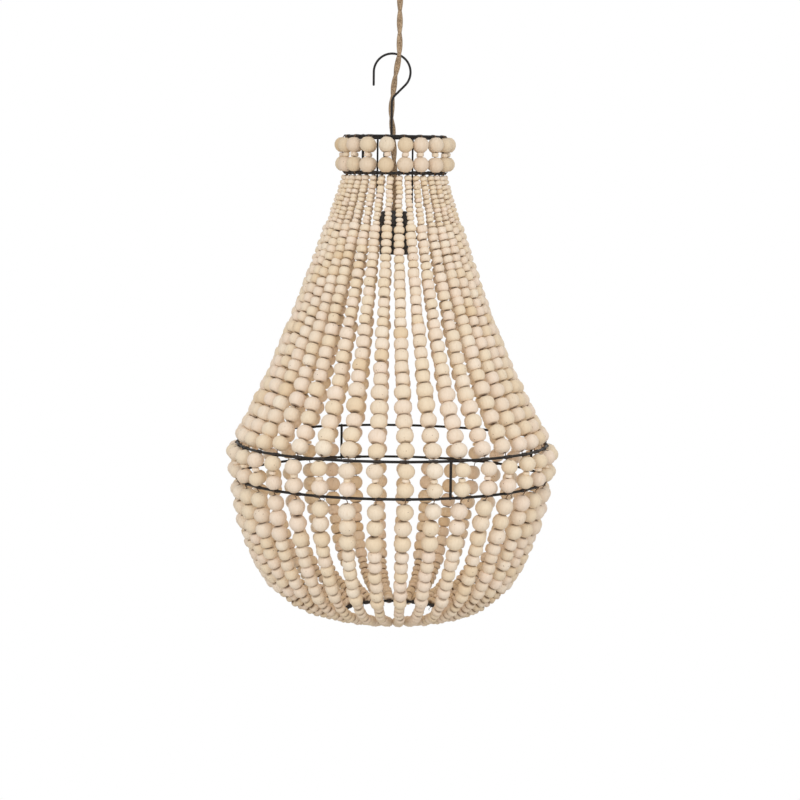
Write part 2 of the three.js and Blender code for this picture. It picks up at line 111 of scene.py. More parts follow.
class Graph:
    def __init__(self, tree):
        self.tree = tree

    def add(self, kind, settings=None, values=None, out=0):
        node = self.tree.nodes.new(kind)
        for name, value in (settings or {}).items():
            if name == "stops":
                fillRamp(node.color_ramp, value)
            else:
                setattr(node, name, value)
        for name, value in (values or {}).items():
            if isinstance(value, Signal):
                self.tree.links.new(value.socket, node.inputs[name])
            else:
                node.inputs[name].default_value = value
        return Signal(self, node.outputs[out]) if node.outputs else node


def fillRamp(ramp, stops):
    while len(ramp.elements) < len(stops):
        ramp.elements.new(0.5)
    for element, (place, shade) in zip(ramp.elements, stops):
        element.position = place
        element.color = shade


black, white = (0.0, 0.0, 0.0, 1.0), (1.0, 1.0, 1.0, 1.0)


def tint(red, green, blue):  # a colour as it looks on screen, 0 to 255
    linear = [((c / 255 + 0.055) / 1.055) ** 2.4 if c > 10 else c / 255 / 12.92 for c in (red, green, blue)]
    return (*linear, 1.0)


def newMaterial(name):
    finish = bpy.data.materials.new(name)
    finish.use_nodes = True
    finish.node_tree.nodes.clear()
    return finish, Graph(finish.node_tree)


def closeMaterial(graph, values):
    shader = graph.add("ShaderNodeBsdfPrincipled", {}, values)
    graph.add("ShaderNodeOutputMaterial", {}, {"Surface": shader})


# helpers that each add one kind of node
def addedTo(graph, first, second):
    return graph.add("ShaderNodeVectorMath", {"operation": "ADD"}, {0: first, 1: second})


def multiplied(graph, first, second):
    return graph.add("ShaderNodeVectorMath", {"operation": "MULTIPLY"}, {0: first, 1: second})


def scaledBy(graph, vector, factor):
    return graph.add("ShaderNodeVectorMath", {"operation": "SCALE"}, {0: vector, "Scale": factor})


def turnedAbout(graph, vector, angle):  # about the upright axis
    values = {"Vector": vector, "Angle": angle}
    return graph.add("ShaderNodeVectorRotate", {"rotation_type": "Z_AXIS"}, values)


def upBy(graph, height):
    return graph.add("ShaderNodeCombineXYZ", {}, {"Z": height})


def attributeOf(graph, name, out="Fac"):
    return graph.add("ShaderNodeAttribute", {"attribute_name": name}, out=out)


def objectPlace(graph):
    return graph.add("ShaderNodeTexCoord", {}, out="Object")


def fadeOf(graph, value, edges, first=black, last=white):  # one grey below the edges, another above them
    stops = [(edges[0], first), (edges[1], last)]
    return graph.add("ShaderNodeValToRGB", {"stops": stops}, {"Fac": value})


def mixTint(graph, share, first, second, blend="MIX"):
    settings = {"data_type": "RGBA", "blend_type": blend}
    return graph.add("ShaderNodeMix", settings, {0: share, 6: first, 7: second}, out=2)


def bumpOf(graph, height, strength, distance):
    return graph.add("ShaderNodeBump", {}, {"Height": height, "Strength": strength, "Distance": distance})


def noiseOf(graph, place, scale, detail=3.0, roughness=0.55):
    values = {"Vector": place, "Scale": scale, "Detail": detail, "Roughness": roughness}
    return graph.add("ShaderNodeTexNoise", {}, values)


# materials
print("materials")
woodLook = {
    "shades": [
        (0.0, tint(228, 204, 170)),
        (0.03, tint(234, 214, 185)),
        (0.3, tint(236, 219, 193)),
        (0.55, tint(236, 218, 196)),
        (0.8, tint(239, 220, 201)),
        (1.0, tint(241, 227, 206)),
    ],
    "grainDark": tint(210, 184, 152),
    "cloud": tint(214, 187, 150),
    "seamShade": tint(112, 80, 48),
    # painted shade round the mouth of the drilled hole
    "hole": tint(70, 46, 28),
    "darkenedTint": tint(241, 237, 231),
    "pit": tint(112, 80, 50),
    "apart": (3.1, 1.7, 2.3),  # how far the pattern shifts from one tone of bead to the next
    "grainScale": 520.0,
    "grainStretch": (1.0, 1.0, 0.16),
    "veinEdges": (0.46, 0.7),
    "veinShare": 0.3,
    "cloudScale": 140.0,
    "cloudFrom": 0.45,
    "cloudShare": 0.4,
    "pitScale": 260.0,
    "pitEdges": (0.1, 0.2),
    "pitPatchScale": 95.0,
    "pitPatchEdges": (0.6, 0.66),
    "pitShare": 0.8,
    "seamShadeEdges": (0.0, 0.92),
    "holeShadeEdges": (0.16, 0.26),
    "holeShadeShare": 0.8,
    "roughness": (0.56, 0.2),
    "bump": (0.35, 0.0003),
    "grainBump": 0.5,
    "shine": 0.35,
}


def woodFinish():
    finish, graph = newMaterial("turnedWood")
    tone = attributeOf(graph, "beadTone")
    offset = {name: tone * share for name, share in zip("XYZ", woodLook["apart"])}
    offset = graph.add("ShaderNodeCombineXYZ", {}, offset)
    place = addedTo(graph, attributeOf(graph, "beadSpace", "Vector"), offset)
    stretched = multiplied(graph, place, woodLook["grainStretch"])
    grain = noiseOf(graph, stretched, woodLook["grainScale"], 4.0, 0.6)
    veins = fadeOf(graph, grain, woodLook["veinEdges"])
    cloud = noiseOf(graph, place, woodLook["cloudScale"], 2.0)
    values = {"Vector": place, "Scale": woodLook["pitScale"]}
    dots = graph.add("ShaderNodeTexVoronoi", {}, values, out="Distance")
    patches = noiseOf(graph, place, woodLook["pitPatchScale"], 1.0)
    pit = fadeOf(graph, dots, woodLook["pitEdges"], white, black)
    pit = pit * fadeOf(graph, patches, woodLook["pitPatchEdges"])
    # painted shade on the bead's ends where it meets the next bead, standing in for the shadow in the joint
    seamShade = fadeOf(graph, attributeOf(graph, "beadEnd"), woodLook["seamShadeEdges"])
    # painted shade round the mouth of the bead's hole
    hole = fadeOf(graph, attributeOf(graph, "beadOut"), woodLook["holeShadeEdges"], white, black)
    colour = graph.add("ShaderNodeValToRGB", {"stops": woodLook["shades"]}, {"Fac": tone})
    colour = mixTint(graph, veins * woodLook["veinShare"], colour, woodLook["grainDark"])
    cloud = (cloud - woodLook["cloudFrom"]) * woodLook["cloudShare"]
    colour = mixTint(graph, cloud, colour, woodLook["cloud"])
    colour = mixTint(graph, pit * woodLook["pitShare"], colour, woodLook["pit"])
    # darkens the crown beads, and paints shade on the small beads at the bottom
    colour = mixTint(graph, attributeOf(graph, "beadAge"), colour, woodLook["darkenedTint"], "MULTIPLY")
    colour = mixTint(graph, seamShade * attributeOf(graph, "beadSeam"), colour, woodLook["seamShade"])
    colour = mixTint(graph, hole * woodLook["holeShadeShare"], colour, woodLook["hole"])
    closeMaterial(graph, {
        "Base Color": colour,
        "Roughness": grain * woodLook["roughness"][1] + woodLook["roughness"][0],
        "Normal": bumpOf(graph, grain * woodLook["grainBump"] - pit, *woodLook["bump"]),
        "Specular IOR Level": woodLook["shine"],
    })
    return finish


wireLook = {
    "tints": (tint(13, 11, 11), tint(30, 26, 25)), "mottleScale": 420.0, "roughness": (0.36, 0.25),
    "bump": (0.3, 0.0002), "shine": 0.25,
    "rubbed": tint(70, 64, 61), "rubbedScale": 90.0, "rubbedEdges": (0.62, 0.74), "rubbedShare": 0.3,
}


def paintedWireFinish():
    finish, graph = newMaterial("blackPaintedWire")
    place = objectPlace(graph)
    mottle = noiseOf(graph, place, wireLook["mottleScale"], 4.0)
    rubbed = fadeOf(graph, noiseOf(graph, place, wireLook["rubbedScale"]), wireLook["rubbedEdges"])
    rubbed = rubbed * wireLook["rubbedShare"]
    colour = mixTint(graph, mottle, *wireLook["tints"])
    closeMaterial(graph, {
        "Base Color": mixTint(graph, rubbed, colour, wireLook["rubbed"]),
        "Roughness": mottle * wireLook["roughness"][1] + wireLook["roughness"][0],
        "Normal": bumpOf(graph, mottle, *wireLook["bump"]),
        "Metallic": rubbed,
        "Specular IOR Level": wireLook["shine"],
    })
    return finish


# finishes where one noise gives the tint, the roughness and the bump
grainLooks = {
    "blackThread": {
        "tints": (tint(20, 15, 13), tint(50, 38, 30)), "noise": (1400.0, 3.0, 0.55),
        "roughness": (0.5, 0.3), "bump": (0.5, 0.0002),
    },
    "brownTwine": {
        "tints": (tint(78, 54, 34), tint(136, 104, 72)), "noise": (1400.0, 3.0, 0.55),
        "roughness": (0.5, 0.3), "bump": (0.5, 0.0002),
    },
    "blackPhenolic": {
        "tints": (tint(20, 19, 18), tint(38, 36, 34)), "noise": (900.0, 5.0, 0.7),
        "roughness": (0.3, 0.22), "bump": (0.15, 0.0001),
    },
    "whiteSteatite": {
        "tints": (tint(236, 232, 222), tint(216, 210, 198)), "noise": (700.0, 4.0, 0.55),
        "roughness": (0.4, 0.25), "bump": (0.2, 0.0001),
    },
}


def grainFinish(name):
    finish, graph = newMaterial(name)
    look = grainLooks[name]
    grain = noiseOf(graph, objectPlace(graph), *look["noise"])
    closeMaterial(graph, {
        "Base Color": mixTint(graph, grain, *look["tints"]),
        "Roughness": grain * look["roughness"][1] + look["roughness"][0],
        "Normal": bumpOf(graph, grain, *look["bump"]),
    })
    return finish


# bare metals: fine streaks along the height, and stains
metalLooks = {
    "lacqueredBrass": {"tints": (tint(214, 178, 104), tint(166, 128, 66)), "streakScale": 900.0},
    "zincPlatedSteel": {"tints": (tint(206, 208, 212), tint(150, 154, 162)), "streakScale": 700.0},
}
metalGrain = {
    "stretch": (1.0, 1.0, 0.12), "stainScale": 80.0, "roughness": (0.24, 0.26), "bump": (0.15, 0.0001),
}


def metalFinish(name):
    finish, graph = newMaterial(name)
    look = metalLooks[name]
    place = objectPlace(graph)
    streak = noiseOf(graph, multiplied(graph, place, metalGrain["stretch"]), look["streakScale"], 4.0)
    stain = noiseOf(graph, place, metalGrain["stainScale"])
    closeMaterial(graph, {
        "Base Color": mixTint(graph, streak * 0.5 + stain * 0.5, *look["tints"]),
        "Metallic": 1.0,
        "Roughness": streak * metalGrain["roughness"][1] + metalGrain["roughness"][0],
        "Normal": bumpOf(graph, streak, *metalGrain["bump"]),
    })
    return finish


# woven jute sleeve: u runs round a core, v along it, both in metres
juteLook = {
    "light": tint(200, 174, 141), "dark": tint(98, 70, 44), "patch": tint(176, 140, 104),
    "plaits": 7.0, "plaitLength": 0.0032, "fibreScale": 520.0, "patchScale": 110.0,
    "weaveShadeShare": 1.4, "fibreShare": 4.0, "patchShare": 0.5, "shadeFrom": 2.2,
    "patchFrom": 0.42, "patchTint": 0.8, "fibreBump": 0.7,
    "roughness": (0.82, 0.15), "bump": (0.8, 0.0005), "sheen": 0.25,
}


def pingPong(graph, value):
    return graph.add("ShaderNodeMath", {"operation": "PINGPONG"}, {0: value, 1: 0.5})


def juteFinish():
    finish, graph = newMaterial("juteSleeve")
    weave = graph.add("ShaderNodeUVMap", {"uv_map": "sleeve"})
    parts = graph.add("ShaderNodeSeparateXYZ", {}, {"Vector": weave})
    turn, run = parts.of("X") * juteLook["plaits"], parts.of("Y") * (1 / juteLook["plaitLength"])
    strands = {0: pingPong(graph, turn + run), 1: pingPong(graph, turn - run)}
    over = graph.add("ShaderNodeMath", {"operation": "MAXIMUM"}, strands)
    place = objectPlace(graph)
    fibre = noiseOf(graph, place, juteLook["fibreScale"], 5.0, 0.75)
    patch = noiseOf(graph, place, juteLook["patchScale"], 2.0)
    # painted shade where the plaits run under each other, mixed with the fibres' own tone and patches
    share = over * juteLook["weaveShadeShare"] + fibre * juteLook["fibreShare"] + patch * juteLook["patchShare"]
    shade = mixTint(graph, share - juteLook["shadeFrom"], juteLook["dark"], juteLook["light"])
    stain = (patch - juteLook["patchFrom"]) * juteLook["patchTint"]
    closeMaterial(graph, {
        "Base Color": mixTint(graph, stain, shade, juteLook["patch"]),
        "Roughness": fibre * juteLook["roughness"][1] + juteLook["roughness"][0],
        "Normal": bumpOf(graph, over + fibre * juteLook["fibreBump"], *juteLook["bump"]),
        "Sheen Weight": juteLook["sheen"],
    })
    return finish


wood = woodFinish()
paintedWire = paintedWireFinish()
thread, twine, plastic, ceramic = [grainFinish(name) for name in grainLooks]
brass, zinc = [metalFinish(name) for name in metalLooks]
jute = juteFinish()


# mesh helpers
def newPiece(name, mesh, body, finish, nodes=()):
    mesh.name = name
    mesh.materials.clear()
    mesh.materials.append(finish)
    piece = linked(bpy.data.objects.new(name, mesh))
    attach(piece, body)
    if nodes:
        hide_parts(*nodes)
    return piece


def meshOf(name, points, faces, smooth=True):
    mesh = bpy.data.meshes.new(name)
    mesh.from_pydata([tuple(p) for p in points], [], faces)
    mesh.polygons.foreach_set("use_smooth", [smooth] * len(mesh.polygons))
    mesh.update()
    return mesh


def joinMeshes(name, meshes):
    shape = bmesh.new()
    for mesh in meshes:
        shape.from_mesh(mesh)
    whole = bpy.data.meshes.new(name)
    shape.to_mesh(whole)
    shape.free()
    for mesh in meshes:
        bpy.data.meshes.remove(mesh)
    return whole


def edited(mesh, change):  # a mesh changed through its bmesh form
    shape = bmesh.new()
    shape.from_mesh(mesh)
    change(shape)
    shape.to_mesh(mesh)
    shape.free()
    return mesh


def facedOutward(shape):
    bmesh.ops.recalc_face_normals(shape, faces=shape.faces)


def closedUp(shape):
    bmesh.ops.remove_doubles(shape, verts=shape.verts, dist=1e-6)
    facedOutward(shape)


def sharpen(mesh, degrees):  # hard edges where the shape turns by more than this
    def markEdges(shape):
        for edge in shape.edges:
            if len(edge.link_faces) == 2:
                edge.smooth = edge.calc_face_angle(0.0) < math.radians(degrees)
    return edited(mesh, markEdges)


def onCircle(angle, radius, centre=(0.0, 0.0)):
    return centre[0] + radius * math.cos(angle), centre[1] + radius * math.sin(angle)


def arcOf(centre, radius, start, end, steps):  # points from one angle to another, in degrees
    angles = [math.radians(start + (end - start) * i / steps) for i in range(steps + 1)]
    return [onCircle(angle, radius, centre) for angle in angles]


def bridged(rings, sides, closed=False):  # the quads between rings of points, each ring with the same number
    faces = []
    for ring in range(rings if closed else rings - 1):
        start, after = ring * sides, (ring + 1) % rings * sides
        for i in range(sides):
            j = (i + 1) % sides
            faces.append((start + i, start + j, after + j, after + i))
    return faces


def softened(profile, radius, steps=3):  # a closed outline with each corner rounded
    outline = []
    corners = [Vector(corner) for corner in profile]
    for before, corner, after in zip([corners[-1], *corners], corners, [*corners[1:], corners[0]]):
        back = min(radius, 0.45 * (before - corner).length)
        ahead = min(radius, 0.45 * (after - corner).length)
        start = corner + (before - corner).normalized() * back
        end = corner + (after - corner).normalized() * ahead
        for step in range(steps + 1):
            share = step / steps
            rest = 1 - share
            outline.append(rest ** 2 * start + 2 * share * rest * corner + share ** 2 * end)
    return outline


# (radius, height) pairs turned about an upright axis
def turnedMesh(name, profile, centre, steps=64, closed=True, hard=50):
    points = []
    for radius, height in profile:
        points += [(*onCircle(fullTurn * i / steps, radius, centre), height) for i in range(steps)]
    mesh = meshOf(name, points, bridged(len(profile), steps, closed))
    return sharpen(edited(mesh, closedUp), hard)


def smoothPath(points, steps):  # a centripetal curve through given points
    points = [Vector(p) for p in points]
    first, last = 2 * points[0] - points[1], 2 * points[-1] - points[-2]
    padded = [first, *points, last]
    path = []
    for i in range(len(points) - 1):
        a, b, c, d = padded[i:i + 4]
        knots = [0.0]
        for start, end in ((a, b), (b, c), (c, d)):
            knots.append(knots[-1] + max((end - start).length, 1e-6) ** 0.5)
        t0, t1, t2, t3 = knots
        for step in range(steps):
            t = t1 + (t2 - t1) * step / steps
            ab = a.lerp(b, (t - t0) / (t1 - t0))
            bc = b.lerp(c, (t - t1) / (t2 - t1))
            cd = c.lerp(d, (t - t2) / (t3 - t2))
            abc = ab.lerp(bc, (t - t0) / (t2 - t0))
            bcd = bc.lerp(cd, (t - t1) / (t3 - t1))
            path.append(abc.lerp(bcd, (t - t1) / (t2 - t1)))
    return [*path, points[-1]]


def runsAlong(path):  # the length from the start to each point
    runs = [0.0]
    for a, b in zip(path, path[1:]):
        runs.append(runs[-1] + (b - a).length)
    return runs


def framesAlong(path, side):  # (place, ahead, side, up) at each point, turning as little as it can
    frames = []
    for i, place in enumerate(path):
        ahead = (path[min(i + 1, len(path) - 1)] - path[max(i - 1, 0)]).normalized()
        side = (side - ahead * side.dot(ahead)).normalized()
        frames.append((place, ahead, side, ahead.cross(side)))
    return frames


def tubeMesh(name, path, radius, sides=12, layer=None):  # a tube with domed ends
    path = [Vector(p) for p in path]
    runs = runsAlong(path)
    firstSide = (path[1] - path[0]).normalized().orthogonal().normalized()
    frames = framesAlong(path, firstSide)
    rings = [(place, side, up, 1.0) for place, _, side, up in frames]
    for dome, share in ((0.5, 0.87), (0.87, 0.5)):
        for at, sign in ((0, -1), (-1, 1)):
            place, ahead, side, up = frames[at]
            ring = (place + ahead * sign * radius * dome, side, up, share)
            rings.insert(0 if sign < 0 else len(rings), ring)
            runs.insert(0 if sign < 0 else len(runs), runs[at])
    points = []
    for place, side, up, share in rings:
        for i in range(sides):
            across, rise = onCircle(fullTurn * i / sides, radius * share)
            points.append(place + side * across + up * rise)
    faces = bridged(len(rings), sides)
    last = (len(rings) - 1) * sides
    faces += [tuple(reversed(range(sides))), tuple(range(last, last + sides))]
    mesh = meshOf(name, points, faces)
    if layer:
        paintLayer(mesh, layer, sides, runs)
    return mesh


def paintLayer(mesh, layer, sides, runs):  # u runs once round the tube, v along it in metres
    uv = mesh.uv_layers.new(name=layer)
    for face in mesh.polygons:
        corners = [(loop, *divmod(mesh.loops[loop].vertex_index, sides)) for loop in face.loop_indices]
        crossesSeam = max(i for _, _, i in corners) == sides - 1
        for loop, ring, i in corners:
            wrap = 1.0 if i == 0 and crossesSeam else 0.0
            uv.data[loop].uv = (i / sides + wrap, runs[ring])


crownLean = {"slope": 0.036, "none": -0.26, "full": -0.16}
bottomDrift = {"aside": 0.0045, "none": -0.555, "full": -0.738}


# the crown hangs a little lower in front than behind, and the bottom ring a little to one side
def settled(mesh):
    for vert in mesh.vertices:
        share = min(max((vert.co.z - crownLean["none"]) / (crownLean["full"] - crownLean["none"]), 0.0), 1.0)
        vert.co.z += share * crownLean["slope"] * vert.co.y
        share = max((vert.co.z - bottomDrift["none"]) / (bottomDrift["full"] - bottomDrift["none"]), 0.0)
        vert.co.x += bottomDrift["aside"] * share ** 2
    return mesh


def around(degrees, radius, height):  # a place at an angle from the front of the lamp
    angle = math.radians(degrees - 90)
    return axis + Vector((*onCircle(angle, radius), height))


def ribsRound(centre, count, radius, low, height, thickness):  # upright ribs on a round wall
    parts = []
    for i in range(count):
        foot = Vector((*onCircle(fullTurn * i / count - math.pi / 2, radius, centre), low))
        parts.append(tubeMesh("rib", [foot, foot + Vector((0, 0, height))], thickness, 6))
    return parts


def runTree(tree, values, name):  # the tree's result as a plain mesh
    host = linked(bpy.data.objects.new(name, bpy.data.meshes.new(name)))
    step = host.modifiers.new(name, "NODES")
    step.node_group = tree
    for socket in tree.interface.items_tree:
        if socket.in_out == "INPUT" and socket.name in values:
            step[socket.identifier] = values[socket.name]
    host.update_tag()
    graph = bpy.context.evaluated_depsgraph_get()
    result = host.evaluated_get(graph)
    mesh = bpy.data.meshes.new_from_object(result, preserve_all_data_layers=True, depsgraph=graph)
    host.modifiers.remove(step)
    bpy.data.objects.remove(host)
    return mesh


def newTree(name, inputs):
    tree = bpy.data.node_groups.new(name, "GeometryNodeTree")
    for label, kind in inputs:
        tree.interface.new_socket(name=label, in_out="INPUT", socket_type=kind)
    tree.interface.new_socket(name="Geometry", in_out="OUTPUT", socket_type="NodeSocketGeometry")
    graph = Graph(tree)
    return tree, graph, graph.add("NodeGroupInput")


def closeTree(graph, shape, finish):
    shape = graph.add("GeometryNodeRealizeInstances", {}, {"Geometry": shape})
    shape = graph.add("GeometryNodeSetMaterial", {}, {"Geometry": shape, "Material": finish})
    graph.add("NodeGroupOutput", {}, {"Geometry": shape})


def randomOf(graph, low, high, seed, key=None):
    values = {2: low, 3: high, 8: seed}
    if key is not None:
        values[7] = key
    return graph.add("FunctionNodeRandomValue", {"data_type": "FLOAT"}, values, out=1)


def sineOf(graph, value):
    return graph.add("ShaderNodeMath", {"operation": "SINE"}, {0: value})


def stored(graph, shape, name, value):  # a number kept on each instance, for its material
    values = {"Geometry": shape, "Name": name, "Value": value}
    return graph.add("GeometryNodeStoreNamedAttribute", {"data_type": "FLOAT", "domain": "INSTANCE"}, values)


def objectShape(graph, thing):
    return graph.add("GeometryNodeObjectInfo", {}, {"Object": thing}, out="Geometry")


def roundSection(graph, thickness, sides):
    values = {"Resolution": sides, "Radius": thickness * 0.5}
    return graph.add("GeometryNodeCurvePrimitiveCircle", {}, values)


def sweptAlong(graph, line, section, capped=True):
    values = {"Curve": line, "Profile Curve": section, "Fill Caps": capped}
    return graph.add("GeometryNodeCurveToMesh", {}, values)


# beads threaded on a rail, the rail repeated round the lamp
beadInputs = [
    ("Rail", "NodeSocketObject"), ("Bead", "NodeSocketObject"), ("Strings", "NodeSocketInt"),
    ("Beads", "NodeSocketInt"), ("First share", "NodeSocketFloat"), ("Step share", "NodeSocketFloat"),
    ("Axis", "NodeSocketVector"), ("Size spread", "NodeSocketFloat"), ("Tilt", "NodeSocketFloat"),
    ("Sway", "NodeSocketFloat"), ("Jitter", "NodeSocketFloat"), ("Lean", "NodeSocketVector"),
    ("Stagger", "NodeSocketFloat"), ("Bare first", "NodeSocketFloat"), ("Bare last", "NodeSocketFloat"),
    ("Seam", "NodeSocketFloat"), ("Age", "NodeSocketFloat"), ("Slip", "NodeSocketFloat"),
    ("Seed", "NodeSocketInt"), ("String seed", "NodeSocketInt"),
]


def placeOnString(graph, given, onString, string):  # each bead's place on its string, and the way ahead there
    share = given.of("First share") + given.of("Step share") * onString
    share = share - given.of("Stagger") * (string % 2) * (share ** 3)
    own = given.of("String seed")
    bow, wave = sineOf(graph, share * math.pi), sineOf(graph, share * fullTurn)
    slip = randomOf(graph, -1.0, 1.0, own + 1, string) * bow
    slip = slip + randomOf(graph, -0.4, 0.4, own + 2, string) * wave
    spot = {"Curves": objectShape(graph, given.of("Rail")), "Factor": share + slip * given.of("Slip")}
    at = graph.add("GeometryNodeSampleCurve", {"mode": "FACTOR"}, spot, out="Position")
    sway = randomOf(graph, -1.0, 1.0, own, string) * given.of("Sway")
    angle = (string + 0.5) * fullTurn / given.of("Strings") - math.pi / 2 + sway * bow
    place = addedTo(graph, turnedAbout(graph, at, angle), given.of("Axis"))
    place = addedTo(graph, place, scaledBy(graph, given.of("Lean"), bow))
    return place, turnedAbout(graph, at.of("Tangent"), angle)


def beadFacing(graph, given, ahead):  # the hole along the string, with a tilt and a turn of the bead's own
    seed = given.of("Seed")
    facing = graph.add("FunctionNodeAlignRotationToVector", {"axis": "Z"}, {"Vector": ahead})
    tilts = [randomOf(graph, -1.0, 1.0, seed + k) * given.of("Tilt") for k in (11, 12)]
    spin = randomOf(graph, 0.0, fullTurn, seed + 13)
    lean = graph.add("ShaderNodeCombineXYZ", {}, {"X": tilts[0], "Y": tilts[1], "Z": spin})
    lean = graph.add("FunctionNodeEulerToRotation", {}, {"Euler": lean})
    values = {"Rotation": facing, "Rotate By": lean}
    return graph.add("FunctionNodeRotateRotation", {"rotation_space": "LOCAL"}, values)


def beadTree():
    tree, graph, given = newTree("threadedBeads", beadInputs)
    number = graph.add("GeometryNodeInputIndex")
    beads, seed = given.of("Beads"), given.of("Seed")
    points = graph.add("GeometryNodePoints", {}, {"Count": beads * given.of("Strings")})
    onString = number % beads
    string = graph.add("ShaderNodeMath", {"operation": "FLOOR"}, {0: (number + 0.001) / beads})
    place, ahead = placeOnString(graph, given, onString, string)
    loose = {0: (-1, -1, -1), 1: (1, 1, 1), 8: seed + 10}
    loose = graph.add("FunctionNodeRandomValue", {"data_type": "FLOAT_VECTOR"}, loose)
    place = addedTo(graph, place, scaledBy(graph, loose, given.of("Jitter")))
    points = graph.add("GeometryNodeSetPosition", {}, {"Geometry": points, "Position": place})
    bead, facing = objectShape(graph, given.of("Bead")), beadFacing(graph, given, ahead)
    size = randomOf(graph, -1.0, 1.0, seed + 14) * given.of("Size spread") + 1.0
    values = {"Points": points, "Instance": bead, "Rotation": facing, "Scale": size}
    shape = graph.add("GeometryNodeInstanceOnPoints", {}, values)
    isFirst = graph.add("ShaderNodeMath", {"operation": "LESS_THAN"}, {0: onString, 1: 0.5})
    isLast = graph.add("ShaderNodeMath", {"operation": "GREATER_THAN"}, {0: onString, 1: beads - 1.5})
    touching = 1.0 - isFirst * given.of("Bare first") - isLast * given.of("Bare last")
    shape = stored(graph, shape, "beadTone", randomOf(graph, 0.0, 1.0, seed + 15))
    # how strong the painted shade on the bead's ends is
    shape = stored(graph, shape, "beadSeam", touching * given.of("Seam"))
    shape = stored(graph, shape, "beadAge", given.of("Age"))
    closeTree(graph, shape, wood)
    return tree


# shares of a bead's radius and half length, from its middle to its end
beadForms = {
    "ball": [(0.98, 0.23), (0.8, 0.64), (0.48, 0.94)],
    "plump": [(0.985, 0.23), (0.84, 0.63), (0.51, 0.94)],
    "barrel": [(0.995, 0.25), (0.9, 0.67), (0.6, 0.95)],
    "disc": [(0.985, 0.22), (0.83, 0.62), (0.5, 0.92)],
    "seed": [(0.99, 0.28), (0.76, 0.82)],
    "spacer": [(1.0, 0.45), (0.86, 0.88)],
}
# how dark the painted shade is on a bead's ends where it touches the next, and the share of its half length
# where that starts
beadSeamShades = {
    "ball": (0.8, 0.84), "plump": (0.78, 0.84), "barrel": (0.62, 0.87), "disc": (0.95, 0.68),
    "seed": (0.45, 0.87), "spacer": (0.3, 0.87),
}
beadHole = 0.0019


def paintPoints(mesh, name, kind, values):
    field = "vector" if kind == "FLOAT_VECTOR" else "value"
    mesh.attributes.new(name, kind, "POINT").data.foreach_set(field, values)


def beadMesh(name, diameter, length, form):  # round shoulders and a drilled hole
    radius, half = diameter / 2, length / 2
    upper = [(radius * out, half * up) for out, up in beadForms[form]] + [(beadHole / 2, half)]
    profile = [(out, -up) for out, up in reversed(upper)] + upper
    mesh = turnedMesh(name, profile, (0.0, 0.0), 12 if diameter > 0.02 else 10, hard=70)
    start = beadSeamShades[form][1]
    spots = [vert.co for vert in mesh.vertices]
    paintPoints(mesh, "beadSpace", "FLOAT_VECTOR", [share for spot in spots for share in spot])
    paintPoints(mesh, "beadEnd", "FLOAT", [(abs(spot.z) / half - start) / (1 - start) for spot in spots])
    paintPoints(mesh, "beadOut", "FLOAT", [spot.xy.length / radius for spot in spots])
    return bpy.data.objects.new(name, mesh)


def bezierRail(name, points):  # points as (place, handle before, handle after)
    line = bpy.data.curves.new(name, "CURVE")
    line.dimensions = "3D"
    line.resolution_u = 48
    spline = line.splines.new("BEZIER")
    spline.bezier_points.add(len(points) - 1)
    for knot, (place, before, after) in zip(spline.bezier_points, points):
        knot.co, knot.handle_left, knot.handle_right = place, before, after
    return bpy.data.objects.new(name, line)


def straightRail(name, out, top, low, lean=(0.0, 0.0)):
    a, b = Vector((out + lean[0], 0, top)), Vector((out + lean[1], 0, low))
    return bezierRail(name, [(a, a, a.lerp(b, 0.33)), (b, b.lerp(a, 0.33), b)])


def pathRail(name, places):  # straight from one (out, height) to the next
    places = [Vector((out, 0, height)) for out, height in places]
    return bezierRail(name, [(place, place, place) for place in places])


# the wires' places, in metres
rings = {
    "wire": 0.0035, "crownTop": -0.106, "crownLow": -0.153, "crownRadius": 0.064,
    "bandTop": -0.509, "bandLow": -0.555, "bandRadius": 0.205, "bottom": -0.738, "bottomRadius": 0.065,
    "stringOut": 0.00265, "reach": 0.00205,
}
bandIn = rings["bandRadius"] - rings["stringOut"]
bandOut = rings["bandRadius"] + rings["stringOut"]
stringLook = {
    "thickness": 0.0012,
    "upperBare": 0.002, "upperClearance": 0.002, "upperAcross": 0.608, "upperDown": 0.774,
    "lowerBare": 0.0019, "lowerClearance": 0.0028, "lowerDraw": 0.22, "lowerFall": 0.99,
    "lowerReach": 0.31, "lowerRise": 0.0125,
    "bandLean": (0.0035, -0.0005), "bandEntryDrop": 0.0085, "bandEndDrop": 0.002,
}
upperEnd = (bandIn, rings["bandTop"] + rings["reach"] + stringLook["upperClearance"])
lowerStart = (rings["bandRadius"], rings["bandLow"] - rings["wire"] / 2 - stringLook["lowerClearance"])


def upperRail():
    top = Vector((rings["crownRadius"], 0, rings["crownLow"] - rings["reach"]))
    end = Vector((upperEnd[0], 0, upperEnd[1]))
    across, down = stringLook["upperAcross"], stringLook["upperDown"]
    pull = Vector((top.x + across * (end.x - top.x), 0, top.z + down * (end.z - top.z)))
    return bezierRail("upperRail", [(top, top, top.lerp(pull, 2 / 3)), (end, end.lerp(pull, 2 / 3), end)])


def lowerRail():
    top = Vector((lowerStart[0], 0, lowerStart[1]))
    end = Vector((rings["bottomRadius"] + rings["reach"], 0, rings["bottom"]))
    span, fall = top.x - end.x, top.z - end.z
    first = Vector((top.x - stringLook["lowerDraw"] * span, 0, top.z - stringLook["lowerFall"] * fall))
    second = Vector((end.x + stringLook["lowerReach"] * span, 0, end.z + stringLook["lowerRise"]))
    return bezierRail("lowerRail", [(top, top, first), (end, second, end)])


